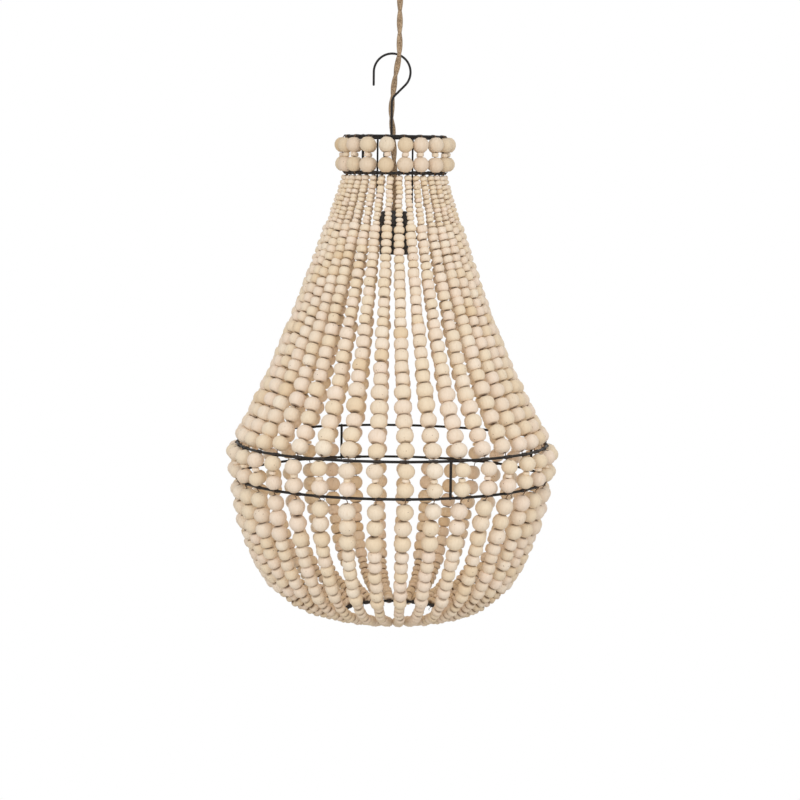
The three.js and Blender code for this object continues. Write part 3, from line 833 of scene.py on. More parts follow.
# jute cord: two covered cores twisted round each other, from the lampholder up to the rose
print("supply cord")
cordLook = {"diameter": 0.008, "coreDiameter": 0.005, "twist": 0.056, "startTurn": 0.43}
cordRoute = [
    (0.0093, -0.007, 0.1297), (0.0093, -0.007, 0.112), (0.0093, -0.007, 0.094), (0.0093, -0.007, 0.076),
    (0.0093, -0.007, 0.058), (0.0093, -0.007, 0.04), (0.0093, -0.007, 0.024), (0.0093, -0.007, 0.01),
    (0.009, -0.007, 0.0), (0.0068, -0.0046, -0.014), (0.0038, 0.0014, -0.03), (0.0018, 0.0066, -0.046),
    (0.0, 0.0084, -0.062), (-0.0004, 0.0096, -0.08), (0.0016, 0.0102, -0.098), (0.0027, 0.01, -0.112),
    (0.0036, 0.008, -0.134), (0.0044, 0.0044, -0.156), (0.0049, 0.0012, -0.176), (0.005, 0.0, -0.192),
    (0.005, 0.0, -0.204), (0.005, 0.0, -0.213),
]
rosePlace = (0.0093, -0.007)
ceiling = 0.13


def twistedCord():
    path = smoothPath(cordRoute, 9)
    runs = runsAlong(path)
    frames = framesAlong(path, Vector((1, 0, 0)))
    offset = (cordLook["diameter"] - cordLook["coreDiameter"]) / 2
    cores = []
    for core in range(2):
        line = []
        for run, (place, _, side, up) in zip(runs, frames):
            angle = fullTurn * (run / cordLook["twist"] + cordLook["startTurn"] + core / 2)
            line.append(place + (side * math.cos(angle) + up * math.sin(angle)) * offset)
        cores.append(tubeMesh("core", line, cordLook["coreDiameter"] / 2, 16, "sleeve"))
    return joinMeshes("juteCord", cores), path, runs[-1]


cordShape, cordPath, cordLength = twistedCord()
juteCord = newPiece("juteCord", cordShape, "lamp", jute, ["supply_cord"])

# ceiling rose on the cord
print("ceiling rose")
roseLook = {
    "radius": 0.045, "height": 0.038, "wall": 0.002, "hole": 0.01, "neckShare": 0.3, "domeShare": 0.55,
}
gripLook = {
    "radius": 0.012, "height": 0.01, "bore": 0.0047, "spigot": 0.0096, "spigotHeight": 0.005, "waist": 0.8,
    "shoulder": 0.6, "corner": 0.0008, "ribs": 24, "ribsOut": 0.985, "ribsLow": 0.0048, "ribHeight": 0.0036,
    "ribThickness": 0.0006,
}
bracketLook = {
    "length": 0.0824, "width": 0.018, "thickness": 0.002, "hole": 0.006, "slot": (0.0185, 0.0295),
    "slotWidth": 0.0044,
}


def roseCupMesh():
    r, h, wall, hole = (roseLook[name] for name in ("radius", "height", "wall", "hole"))
    low, bend = ceiling - h, h * roseLook["domeShare"]
    neck = r * roseLook["neckShare"]
    dome = arcOf((0.0, 0.0), 1.0, -90, 0, 12)  # shallow dome running into a straight side
    outline = [(hole, low)]
    outline += [(neck + (r - neck) * out, low + bend * (1 + up) + 0.0004) for out, up in dome]
    outline.append((r, ceiling - fitGap))
    inside = [(max(out - wall, hole), height + wall) for out, height in outline[1:-1]]
    inside = [(hole, low + wall), *inside, (r - wall, ceiling - fitGap)]
    return turnedMesh("roseCup", outline + inside[::-1], rosePlace, 72, hard=40)


def roseGripMesh():
    top = ceiling - roseLook["height"] - fitGap
    r, h, bore, spigot = (gripLook[name] for name in ("radius", "height", "bore", "spigot"))
    end = top + gripLook["spigotHeight"]
    outline = softened([
        (bore, top - h), (r * gripLook["waist"], top - h), (r, top - h * gripLook["shoulder"]), (r, top),
        (spigot, top), (spigot, end), (bore, end),
    ], gripLook["corner"])
    body = turnedMesh("grip", outline, rosePlace, 48, hard=35)
    ribs = ribsRound(rosePlace, gripLook["ribs"], r * gripLook["ribsOut"], top - gripLook["ribsLow"],
                     gripLook["ribHeight"], gripLook["ribThickness"])
    return joinMeshes("roseGrip", [body, *ribs])


def bracketLoops():  # the strap's outline, its middle hole and two screw slots
    curve, slotCurve = bracketLook["width"] / 2, bracketLook["slotWidth"] / 2
    near, far = bracketLook["slot"]
    end = arcOf((bracketLook["length"] / 2 - curve, 0), curve, -90, 90, 8)
    slot = arcOf((far, 0), slotCurve, -90, 90, 7) + arcOf((near, 0), slotCurve, 90, 270, 7)
    otherEnd, otherSlot = ([(-x, -y) for x, y in loop] for loop in (end, slot))
    return [end + otherEnd, arcOf((0, 0), bracketLook["hole"], 0, 360, 32)[:-1], slot, otherSlot]


def bracketMesh():
    shape = bmesh.new()
    edges = []
    for loop in bracketLoops():
        verts = [shape.verts.new((rosePlace[0] + x, rosePlace[1] + y, ceiling)) for x, y in loop]
        edges += [shape.edges.new(pair) for pair in zip(verts, [*verts[1:], verts[0]])]
    bmesh.ops.triangle_fill(shape, edges=edges, use_beauty=True)
    made = bmesh.ops.extrude_face_region(shape, geom=shape.faces[:])
    for item in made["geom"]:
        if isinstance(item, bmesh.types.BMVert):
            item.co.z -= bracketLook["thickness"]
    facedOutward(shape)
    mesh = bpy.data.meshes.new("roseBracket")
    shape.to_mesh(mesh)
    shape.free()
    return mesh


roseCup = newPiece("roseCup", roseCupMesh(), "rose", paintedWire, ["rose_cup"])
roseGrip = newPiece("roseGrip", roseGripMesh(), "rose", plastic, ["rose_grip"])
roseBracket = newPiece("roseBracket", bracketMesh(), "lamp", zinc, ["rose_bracket"])


# hook of bent wire, its stem lapped on the crown's cross bar
print("hook")
hookLook = {
    "wire": 0.003, "radius": 0.024, "tipDrop": 0.0165, "neckRadius": 0.015, "neckAngle": 45, "lap": 0.012,
}


def hookMesh():
    r, wire, bend = hookLook["radius"], hookLook["wire"] / 2, hookLook["neckRadius"]
    centre, neck = wire - r, math.radians(hookLook["neckAngle"])
    path = [(-r, centre - hookLook["tipDrop"] * (1 - i / 4)) for i in range(4)]  # the tip
    path += arcOf((0, centre), r, 180, -hookLook["neckAngle"], 40)  # over the top
    x, z = path[-1]
    bendX = bend * (1 - math.cos(neck))
    legLow = z - (x - bendX) / math.tan(neck)
    bendZ = legLow - bend * math.sin(neck)
    path += [(x + (bendX - x) * k / 4, z + (legLow - z) * k / 4) for k in (1, 2, 3)]  # the slanting leg
    path += arcOf((bend, bendZ), bend, 180 - hookLook["neckAngle"], 180, 8)  # the neck
    stemEnd = rings["crownTop"] - hookLook["lap"]
    path += [(0, bendZ + (stemEnd - bendZ) * i / 6) for i in range(1, 7)]  # the stem
    return tubeMesh("hangingHook", [Vector((x, 0, z)) for x, z in path], wire, 16)


newPiece("hangingHook", hookMesh(), "lamp", paintedWire, ["hanging_hook"])


# wire rings: a bent wire closes in a ring that isn't quite true
print("wire frames")
ringInputs = [
    ("Radius", "NodeSocketFloat"), ("Height", "NodeSocketFloat"), ("Wire", "NodeSocketFloat"),
    ("Axis", "NodeSocketVector"), ("Waver", "NodeSocketFloat"), ("Seed", "NodeSocketInt"),
]


def ringTree():
    tree, graph, given = newTree("wireRing", ringInputs)
    circle = {"Resolution": 144, "Radius": given.of("Radius")}
    line = graph.add("GeometryNodeCurvePrimitiveCircle", {}, circle)
    where = scaledBy(graph, graph.add("GeometryNodeInputPosition"), 14.0)
    values = {"Vector": where, "W": given.of("Seed"), "Scale": 1.0, "Detail": 1.0}
    waver = graph.add("ShaderNodeTexNoise", {"noise_dimensions": "4D"}, values, out="Color")
    waver = scaledBy(graph, addedTo(graph, waver, (-0.5, -0.5, -0.5)), given.of("Waver"))
    shift = addedTo(graph, upBy(graph, given.of("Height")), given.of("Axis"))
    values = {"Geometry": line, "Offset": addedTo(graph, shift, waver)}
    line = graph.add("GeometryNodeSetPosition", {}, values)
    shape = sweptAlong(graph, line, roundSection(graph, given.of("Wire"), 12), False)
    closeTree(graph, shape, paintedWire)
    return tree


wireRingTree = ringTree()
frameLook = {
    "waver": 0.0007, "crownStruts": (-40, 80, 193), "bandStruts": (21, 111, 201, 291), "weld": 0.0024,
    "weldRoughness": 0.12, "barBack": 0.00355, "barDrop": 0.0019,
}


def wireRing(radius, height, seed):
    values = {"Radius": radius, "Height": height, "Wire": rings["wire"], "Axis": axis,
              "Waver": frameLook["waver"], "Seed": seed}
    return runTree(wireRingTree, values, "ring")


def weldMesh(place, radius, seed):  # a lumpy blob of weld
    chance = random.Random(seed)
    shape = bmesh.new()
    bmesh.ops.create_icosphere(shape, subdivisions=2, radius=radius)
    for vert in shape.verts:
        vert.co = vert.co * (1 + frameLook["weldRoughness"] * chance.uniform(-1, 1)) + place
    mesh = bpy.data.meshes.new("weld")
    for face in shape.faces:
        face.smooth = True
    shape.to_mesh(mesh)
    shape.free()
    return mesh


def strutMeshes(angles, radius, top, low):
    parts = []
    for i, angle in enumerate(angles):
        ends = [around(angle, radius, top), around(angle, radius, low)]
        parts.append(tubeMesh("strut", ends, rings["wire"] / 2, 12))
        parts += [weldMesh(end, frameLook["weld"], 7 * i + k) for k, end in enumerate(ends)]
    return parts


def crownMesh():
    radius, top, low = rings["crownRadius"], rings["crownTop"], rings["crownLow"]
    back, barTop = frameLook["barBack"], top - frameLook["barDrop"]
    half = math.sqrt(radius ** 2 - back ** 2)
    ends = [axis + Vector((side * half, back, barTop)) for side in (-1, 1)]
    parts = [wireRing(radius, top, 1), wireRing(radius, low, 2), tubeMesh("bar", ends, rings["wire"] / 2, 12)]
    parts += strutMeshes(frameLook["crownStruts"], radius, top, low)
    return settled(joinMeshes("crownWires", parts))


def bandMesh():
    radius, top, low = rings["bandRadius"], rings["bandTop"], rings["bandLow"]
    parts = [wireRing(radius, top, 3), wireRing(radius, low, 4)]
    parts += strutMeshes(frameLook["bandStruts"], radius, top, low)
    return joinMeshes("bandWires", parts)


newPiece("crownWires", crownMesh(), "lamp", paintedWire, ["crown_frame"])
newPiece("bandWires", bandMesh(), "lamp", paintedWire, ["band_frame"])
newPiece("bottomWire", settled(wireRing(rings["bottomRadius"], rings["bottom"], 5)), "lamp", paintedWire,
         ["bottom_ring"])


# lampholder and the cradle that carries it
print("lampholder")
holderLook = {
    "top": -0.202, "skirtTop": -0.222, "skirtLow": -0.26, "seat": -0.2338, "radius": 0.0195,
    "threadPitch": 0.0025, "corner": 0.0005,
}
cradleLook = {
    "wire": 0.0025, "halfWidth": 0.023, "radius": 0.028, "bore": 0.0198, "plate": 0.0016, "hookEnd": 0.005,
    "weld": 0.0019,
}
capLook = {
    "shoulderDrop": 0.0048, "flatEdge": (0.0165, 0.0012), "flat": 0.008, "bore": 0.0046, "boreDepth": 0.0044,
    "inner": (0.0151, 0.0102), "mouth": 0.0173, "corner": 0.0012, "ribs": 30, "ribHeight": 0.0095,
    "ribsIn": 0.0002, "ribsUp": 0.0015, "ribThickness": 0.0006,
}
skirtLook = {
    "bore": 0.0161, "lip": 0.02145, "lipHeight": 0.0035, "neck": 0.017, "neckHeight": 0.002,
    "threadDepth": 0.0005, "threadOut": 0.0001, "threadUp": 0.002, "threadHeight": 0.013,
    "threadWire": 0.0011,
}
shadeRingLook = {
    "bore": 0.0199, "radius": 0.03, "height": 0.004, "neck": 0.021, "neckHeight": 0.004, "knurls": 40,
    "rimIn": 0.0004, "knurlsIn": 0.0005, "knurlsUp": 0.0006, "knurlHeight": 0.0028, "knurlThickness": 0.0005,
}
insertLook = {
    "radius": 0.0158, "low": -0.2383, "bore": 0.0018, "boreDepth": 0.0069, "well": 0.003, "wellDepth": 0.0022,
    "corner": 0.0004,
}
shellLook = {
    "top": -0.2386, "low": -0.2536, "inner": 0.0144, "outer": 0.0151, "corner": 0.0002,
    "threadOut": 0.00025, "threadEnds": 0.001, "threadWire": 0.0006,
}
centreLook = {  # the head as (radius, depth below its rim)
    "rim": -0.2401, "stem": 0.0014, "stemHeight": 0.005,
    "head": [(0.0, 0.0014), (0.0016, 0.00135), (0.0025, 0.0011), (0.003, 0.0006), (0.003, 0.0)],
}


def cradleMesh():
    seat, plate = holderLook["seat"], cradleLook["plate"]
    bore, radius = cradleLook["bore"], cradleLook["radius"]
    outline = [(bore, seat - plate), (radius, seat - plate), (radius, seat), (bore, seat)]
    parts = [turnedMesh("plate", softened(outline, holderLook["corner"]), axis, 64, hard=35)]
    back, top = frameLook["barBack"], rings["crownTop"] - frameLook["barDrop"]
    low = seat - plate / 2
    bend = rings["wire"] / 2 + fitGap + cradleLook["wire"] / 2
    line = [(back - bend, low + (top - low) * i / 8) for i in range(8)]
    line += arcOf((back, top), bend, 180, 0, 14)  # over the bar and down behind it
    line.append((back + bend, top - cradleLook["hookEnd"]))
    for side in (-1, 1):
        x = axis.x + side * cradleLook["halfWidth"]
        path = [Vector((x, y, z)) for y, z in line]
        parts.append(tubeMesh("cradleWire", path, cradleLook["wire"] / 2, 12))
        parts.append(weldMesh(path[0], cradleLook["weld"], 40 + side))
    return joinMeshes("cradleWires", parts)


def capMesh():
    top, low, r = holderLook["top"], holderLook["skirtTop"] + fitGap, holderLook["radius"]
    edge, inner, bore = capLook["flatEdge"], capLook["inner"], capLook["bore"]
    outline = softened([
        (r, low), (r, top - capLook["shoulderDrop"]), (edge[0], top - edge[1]), (capLook["flat"], top),
        (bore, top), (bore, top - capLook["boreDepth"]), (inner[0], top - inner[1]), (capLook["mouth"], low),
    ], capLook["corner"], 4)
    body = turnedMesh("cap", outline, axis, 72, hard=45)
    ribs = ribsRound(axis, capLook["ribs"], r - capLook["ribsIn"], low + capLook["ribsUp"],
                     capLook["ribHeight"], capLook["ribThickness"])
    return joinMeshes("lampholderCap", [body, *ribs])


spiralInputs = [
    ("Radius", "NodeSocketFloat"), ("Height", "NodeSocketFloat"), ("Turns", "NodeSocketFloat"),
    ("Rise", "NodeSocketFloat"), ("Wire", "NodeSocketFloat"), ("Axis", "NodeSocketVector"),
    ("Finish", "NodeSocketMaterial"),
]


def spiralTree():  # a screw thread
    tree, graph, given = newTree("screwThread", spiralInputs)
    values = {"Resolution": 40, "Rotations": given.of("Turns"), "Start Radius": given.of("Radius"),
              "End Radius": given.of("Radius"), "Height": given.of("Rise")}
    line = graph.add("GeometryNodeCurveSpiral", {}, values)
    shift = addedTo(graph, upBy(graph, given.of("Height")), given.of("Axis"))
    line = graph.add("GeometryNodeSetPosition", {}, {"Geometry": line, "Offset": shift})
    shape = sweptAlong(graph, line, roundSection(graph, given.of("Wire"), 8))
    closeTree(graph, shape, given.of("Finish"))
    return tree


screwThreadTree = spiralTree()


def screwThread(radius, low, high, wire, finish):
    rise = high - low
    values = {"Radius": radius, "Height": low, "Turns": rise / holderLook["threadPitch"], "Rise": rise,
              "Wire": wire, "Axis": axis, "Finish": finish}
    return runTree(screwThreadTree, values, "thread")


def skirtMesh():
    top, low, r = holderLook["skirtTop"], holderLook["skirtLow"], holderLook["radius"]
    bore, lip, root = skirtLook["bore"], skirtLook["lip"], r - skirtLook["threadDepth"]
    neck, neckTop = skirtLook["neck"], top + skirtLook["neckHeight"]
    lipLow = holderLook["seat"] + fitGap
    lipTop = lipLow + skirtLook["lipHeight"]
    outline = softened([
        (bore, neckTop), (bore, low), (root, low), (root, lipLow), (lip, lipLow), (lip, lipTop), (r, lipTop),
        (r, top), (neck, top), (neck, neckTop),
    ], holderLook["corner"])
    body = turnedMesh("skirt", outline, axis, 72, hard=45)
    start = low + skirtLook["threadUp"]
    end = start + skirtLook["threadHeight"]
    turns = screwThread(root + skirtLook["threadOut"], start, end, skirtLook["threadWire"], plastic)
    return joinMeshes("lampholderSkirt", [body, turns])


def shadeRingMesh():
    top = holderLook["seat"] - cradleLook["plate"] - fitGap
    low = top - shadeRingLook["height"]
    neckLow = low - shadeRingLook["neckHeight"]
    bore, outer, neck = shadeRingLook["bore"], shadeRingLook["radius"], shadeRingLook["neck"]
    rim = outer - shadeRingLook["rimIn"]
    outline = softened([(bore, top), (bore, neckLow), (neck, neckLow), (neck, low), (rim, low), (rim, top)],
                       holderLook["corner"])
    body = turnedMesh("shadeRing", outline, axis, 80, hard=45)
    knurls = ribsRound(axis, shadeRingLook["knurls"], outer - shadeRingLook["knurlsIn"],
                       low + shadeRingLook["knurlsUp"], shadeRingLook["knurlHeight"],
                       shadeRingLook["knurlThickness"])
    return joinMeshes("shadeRing", [body, *knurls])


def insertMesh():
    top, low, r = holderLook["skirtTop"] - fitGap, insertLook["low"], insertLook["radius"]
    bore, well = insertLook["bore"], insertLook["well"]
    boreTop, wellLow = low + insertLook["boreDepth"], top - insertLook["wellDepth"]
    outline = [(bore, boreTop), (bore, low), (r, low), (r, top), (well, top), (well, wellLow)]
    outline = [(0.0, boreTop), *softened(outline, insertLook["corner"])[2:-2], (0.0, wellLow)]
    return turnedMesh("ceramicInsert", outline, axis, 56, closed=False, hard=40)


def shellMesh():
    top, low, inner, outer = (shellLook[name] for name in ("top", "low", "inner", "outer"))
    outline = softened([(inner, top), (inner, low), (outer, low), (outer, top)], shellLook["corner"])
    body = turnedMesh("shell", outline, axis, 64, hard=45)
    radius, ends = inner + shellLook["threadOut"], shellLook["threadEnds"]
    turns = screwThread(radius, low + ends, top - ends, shellLook["threadWire"], brass)
    return joinMeshes("shellContact", [body, turns])


def centreMesh():
    rim, stem = centreLook["rim"], centreLook["stem"]
    stemTop = rim + centreLook["stemHeight"]
    outline = [(radius, rim - drop) for radius, drop in centreLook["head"]]
    outline += [(stem, rim), (stem, stemTop), (0.0, stemTop)]
    return turnedMesh("centreContact", outline, axis, 40, closed=False, hard=40)


newPiece("cradleWires", cradleMesh(), "lamp", paintedWire, ["holder_cradle"])
newPiece("lampholderCap", capMesh(), "lamp", plastic, ["lampholder_cap"])
newPiece("lampholderSkirt", skirtMesh(), "lamp", plastic, ["lampholder_skirt"])
newPiece("shadeRing", shadeRingMesh(), "shade_ring", plastic, ["shade_ring"])
newPiece("ceramicInsert", insertMesh(), "lamp", ceramic, ["contact_insert"])
newPiece("shellContact", shellMesh(), "lamp", brass, ["shell_contact"])
newPiece("centreContact", centreMesh(), "centre_contact", brass, ["centre_contact"])


# bead strings
print("beads")
threadedBeads = beadTree()
beadLook = {"spread": 0.035, "tilt": 0.13, "sway": 0.007, "jitter": 0.0007, "lengthShare": 0.99}
stringCount = len(strandNodes)
# sizes from the top, each as its name, diameter, pitch, count and form, and darkenings where 1 is the
# darkest; on the bottom's small beads this is painted shade
stringRuns = {
    "upperBeads": {
        "sizes": [
            ("seed", 0.0096, 0.0061, 11, "seed"), ("small", 0.0139, 0.01, 6, "barrel"),
            ("middle", 0.0154, 0.0126, 6, "barrel"), ("large", 0.0182, 0.0153, 5, "barrel"),
            ("largest", 0.0222, 0.019, 5, "plump"),
        ],
        "darkenings": {}, "bareRun": stringLook["upperBare"], "bareEnd": "Bare last", "lean": (-0.0017, 0.0, 0.0),
        "stagger": 0.0, "slip": 0.006, "seed": 100,
    },
    "lowerBeads": {
        "sizes": [
            ("largest", 0.0222, 0.0204, 3, "ball"), ("large", 0.0176, 0.0141, 6, "barrel"),
            ("small", 0.0138, 0.0098, 10, "disc"),
        ],
        # the small beads at the bottom are darkened as painted shade
        "darkenings": {"small": 0.75}, "bareRun": stringLook["lowerBare"], "bareEnd": "Bare first",
        "lean": (-0.0037, 0.0, 0.0), "stagger": 0.004, "slip": 0.004, "seed": 300,
    },
}
bandPair = {
    "diameter": 0.0216, "pitch": 0.0185, "spacer": 0.0093, "end": rings["reach"], "sway": 0.006, "darkening": 0.0,
    "out": bandOut, "lean": stringLook["bandLean"], "levels": (rings["bandTop"], rings["bandLow"]),
    "strings": stringCount, "seed": 500,
}
crownPair = {
    "diameter": 0.0208, "pitch": 0.0192, "spacer": 0.0087, "end": 0.0014, "sway": 0.03, "darkening": 0.85,
    "out": rings["crownRadius"] + 0.0047, "lean": (0.0, 0.0),
    "levels": (rings["crownTop"], rings["crownLow"]), "strings": 2 * len(loopNodes), "seed": 600,
}


def threadBeads(name, rail, form, diameter, pitch, nodes, values):
    bead = beadMesh(name + "Bead", diameter, pitch * beadLook["lengthShare"], form)
    values = {
        "Rail": rail, "Bead": bead, "Strings": stringCount, "Axis": axis, "Size spread": beadLook["spread"],
        "Tilt": beadLook["tilt"], "Sway": beadLook["sway"], "Jitter": beadLook["jitter"], "Lean": (0, 0, 0),
        "Stagger": 0.0, "Bare first": 0.0, "Bare last": 0.0, "Seam": beadSeamShades[form][0], "Slip": 0.0,
        **values,
    }
    mesh = settled(runTree(threadedBeads, values, name))
    bpy.data.objects.remove(bead)
    return newPiece(name, mesh, "lamp", wood, nodes)


def threadSizes(prefix, rail):  # all the sizes of one run, one size below the other
    look = stringRuns[prefix]
    total = look["bareRun"] + sum(pitch * count for _, _, pitch, count, _ in look["sizes"])
    run, seed = look["bareRun"], look["seed"]
    for label, diameter, pitch, count, form in look["sizes"]:
        threadBeads(prefix + label.capitalize(), rail, form, diameter, pitch, strandNodes, {
            "Beads": count, "First share": (run + pitch / 2) / total, "Step share": pitch / total,
            "Lean": look["lean"], "Stagger": look["stagger"] / total, "Slip": look["slip"] / total,
            look["bareEnd"]: float(label == "largest"), "Age": look["darkenings"].get(label, 0.0), "Seed": seed,
            "String seed": look["seed"] + 9,
        })
        run += pitch * count
        seed += 20


def threadPairs(prefix, pair, nodes):  # two beads between two rings, with a spacer between them
    (top, low), end, pitch = pair["levels"], pair["end"], pair["pitch"]
    rail = straightRail(prefix + "Rail", pair["out"], top - end, low + end, pair["lean"])
    run = top - low - 2 * end
    first = pitch / 2 / run
    shared = {"Strings": pair["strings"], "Sway": pair["sway"], "String seed": pair["seed"] + 9}
    threadBeads(prefix + "Pairs", rail, "ball", pair["diameter"], pitch, nodes, {
        **shared, "Beads": 2, "First share": first, "Step share": 1 - 2 * first, "Bare first": 1.0,
        "Bare last": 1.0, "Age": pair["darkening"], "Seed": pair["seed"],
    })
    threadBeads(prefix + "Spacers", rail, "spacer", pair["spacer"], run - 2 * pitch, nodes, {
        **shared, "Beads": 1, "First share": 0.5, "Step share": 0.0, "Age": pair["darkening"] / 2,
        "Seed": pair["seed"] + 20,
    })
    bpy.data.objects.remove(rail)


upper, lower = upperRail(), lowerRail()
threadSizes("upperBeads", upper)
threadSizes("lowerBeads", lower)
threadPairs("band", bandPair, strandNodes)
threadPairs("crown", crownPair, loopNodes)


# the string itself, seen where it is bare
print("strings and knots")
stringInputs = [
    ("Rail", "NodeSocketObject"), ("Strings", "NodeSocketInt"), ("Thickness", "NodeSocketFloat"),
    ("Axis", "NodeSocketVector"),
]


def stringTree():
    tree, graph, given = newTree("bareString", stringInputs)
    rail = objectShape(graph, given.of("Rail"))
    line = graph.add("GeometryNodeResampleCurve", {"mode": "COUNT"}, {"Curve": rail, "Count": 24})
    run = sweptAlong(graph, line, roundSection(graph, given.of("Thickness"), 5))
    number = graph.add("GeometryNodeInputIndex")
    strings = given.of("Strings")
    turn = upBy(graph, (number + 0.5) * fullTurn / strings - math.pi / 2)
    points = graph.add("GeometryNodePoints", {}, {"Count": strings, "Position": given.of("Axis")})
    values = {"Points": points, "Instance": run, "Rotation": turn}
    shape = graph.add("GeometryNodeInstanceOnPoints", {}, values)
    closeTree(graph, shape, twine)
    return tree


bareString = stringTree()


def stringMesh(rail, strings):
    values = {"Rail": rail, "Strings": strings, "Thickness": stringLook["thickness"], "Axis": axis}
    return runTree(bareString, values, "string")


def bareRails():  # each stretch of string without beads, and how many there are round the lamp
    lean, entry = stringLook["bandLean"], rings["bandTop"] - stringLook["bandEntryDrop"]
    over = [upperEnd, (bandIn, rings["bandTop"] - rings["reach"]), (bandOut + lean[0], entry)]
    under = [(bandOut, rings["bandLow"] - rings["reach"]), lowerStart]
    tie = rings["stringOut"] * math.sqrt(0.5)
    out, end = crownPair["out"], crownPair["end"]
    crownRun = [
        (rings["crownRadius"] + tie, rings["crownTop"] + tie), (out, rings["crownTop"] - end),
        (out, rings["crownLow"] + end), (rings["crownRadius"] + tie, rings["crownLow"] - tie),
    ]
    bandEnd = rings["bandLow"] - stringLook["bandEndDrop"]
    behindPair = straightRail("bandString", bandOut, entry, bandEnd, lean)
    rails = [upper, lower, pathRail("bandEntry", over), behindPair, pathRail("bandExit", under)]
    counted = [(rail, stringCount) for rail in rails]
    return [*counted, (pathRail("crownString", crownRun), crownPair["strings"])]


def allStrings():
    rails = bareRails()
    mesh = joinMeshes("strings", [stringMesh(rail, count) for rail, count in rails])
    for rail, _ in rails:
        bpy.data.objects.remove(rail)
    return settled(mesh)


newPiece("strings", allStrings(), "lamp", twine, strandNodes + loopNodes)

# knots: thread wound on the ring beside each string
knotLook = {
    "length": 0.012, "turns": 6, "thickness": 0.0008, "crest": 0.9, "groove": 0.35, "clear": 0.0001,
    "sides": 8, "lump": 0.0012, "lumpDrop": 0.0008, "sizeSpread": 0.25, "shift": 0.012, "seed": 40,
}
knotPlaces = [  # ring radius and height, how many, share of the length, girth
    (rings["crownRadius"], rings["crownTop"], 2 * len(loopNodes), 0.8, 0.95),
    (rings["crownRadius"], rings["crownLow"], stringCount, 0.6, 1.0),
    (rings["bandRadius"], rings["bandTop"], stringCount, 1.0, 1.0),
    (rings["bandRadius"], rings["bandLow"], stringCount, 1.0, 1.0),
    (rings["bottomRadius"], rings["bottom"], stringCount, 0.5, 1.1),
]
knotInputs = [
    ("Knot", "NodeSocketObject"), ("Count", "NodeSocketInt"), ("Radius", "NodeSocketFloat"),
    ("Height", "NodeSocketFloat"), ("Axis", "NodeSocketVector"), ("Size spread", "NodeSocketFloat"),
    ("Shift", "NodeSocketFloat"), ("Length share", "NodeSocketFloat"), ("Girth", "NodeSocketFloat"),
    ("Seed", "NodeSocketInt"),
]


def knotTree():
    tree, graph, given = newTree("ringKnots", knotInputs)
    knot = objectShape(graph, given.of("Knot"))
    number = graph.add("GeometryNodeInputIndex")
    count, seed = given.of("Count"), given.of("Seed")
    shift = randomOf(graph, -1.0, 1.0, seed) * given.of("Shift")
    angle = (number + 0.5) * fullTurn / count + shift
    start = graph.add("ShaderNodeCombineXYZ", {}, {"Y": given.of("Radius") * -1.0, "Z": given.of("Height")})
    place = addedTo(graph, turnedAbout(graph, start, angle), given.of("Axis"))
    points = graph.add("GeometryNodePoints", {}, {"Count": count, "Position": place})
    roll = randomOf(graph, -0.5, 0.5, seed + 1)
    turn = graph.add("ShaderNodeCombineXYZ", {}, {"X": roll, "Z": angle})
    size = randomOf(graph, -1.0, 1.0, seed + 2) * given.of("Size spread") + 1.0
    length, girth = size * given.of("Length share"), given.of("Girth")
    scale = graph.add("ShaderNodeCombineXYZ", {}, {"X": length, "Y": girth, "Z": girth})
    values = {"Points": points, "Instance": knot, "Rotation": turn, "Scale": scale}
    shape = graph.add("GeometryNodeInstanceOnPoints", {}, values)
    closeTree(graph, shape, thread)
    return tree


def knotMesh():
    steps, sides = 2 * knotLook["turns"], knotLook["sides"]
    wire, lump = rings["wire"] / 2, knotLook["lump"]
    points = []
    for i in range(steps + 1):
        share = 2 * i / steps - 1
        winding = knotLook["crest"] if i % 2 else knotLook["groove"]
        bulge = wire + knotLook["thickness"] * winding * (1 - share ** 4) + knotLook["clear"]
        circle = [onCircle(fullTurn * j / sides, bulge) for j in range(sides)]
        points += [(share * knotLook["length"] / 2, y, z) for y, z in circle]
    sleeve = meshOf("sleeve", points, bridged(steps + 1, sides))
    end = weldMesh(Vector((lump, -wire - knotLook["lumpDrop"], 0.0)), lump, knotLook["seed"])
    mesh = edited(joinMeshes("knot", [sleeve, end]), facedOutward)
    return bpy.data.objects.new("knot", mesh)


# loose thread ends under the rings
tailLook = {
    "thickness": 0.0007, "length": 0.0055, "lengths": (0.6, 1.3), "steps": 5, "round": 0.3, "out": 0.1,
    "down": (0.1, 0.24), "seed": 21,
}
tailPlaces = [  # ring radius and height, how many
    (rings["crownRadius"], rings["crownLow"], 16), (rings["bandRadius"], rings["bandLow"], 12),
    (rings["bottomRadius"], rings["bottom"], 12),
]


def tailPath(chance, angle, radius, height, length):  # each step goes a little round, in or out, and down
    path = [around(angle, radius, height)]
    for _ in range(tailLook["steps"]):
        angle += math.degrees(length * chance.uniform(-tailLook["round"], tailLook["round"]) / radius)
        radius += length * chance.uniform(-tailLook["out"], tailLook["out"])
        height -= length * chance.uniform(*tailLook["down"])
        path.append(around(angle, radius, height))
    return path


def tailMeshes():
    chance = random.Random(tailLook["seed"])
    parts = []
    for radius, height, count in tailPlaces:
        for i in range(count):
            angle = 360 * (i + chance.random()) / count
            length = tailLook["length"] * chance.uniform(*tailLook["lengths"])
            path = tailPath(chance, angle, radius, height - rings["wire"] / 2, length)
            parts.append(tubeMesh("tail", smoothPath(path, 3), tailLook["thickness"] / 2, 5))
    return parts


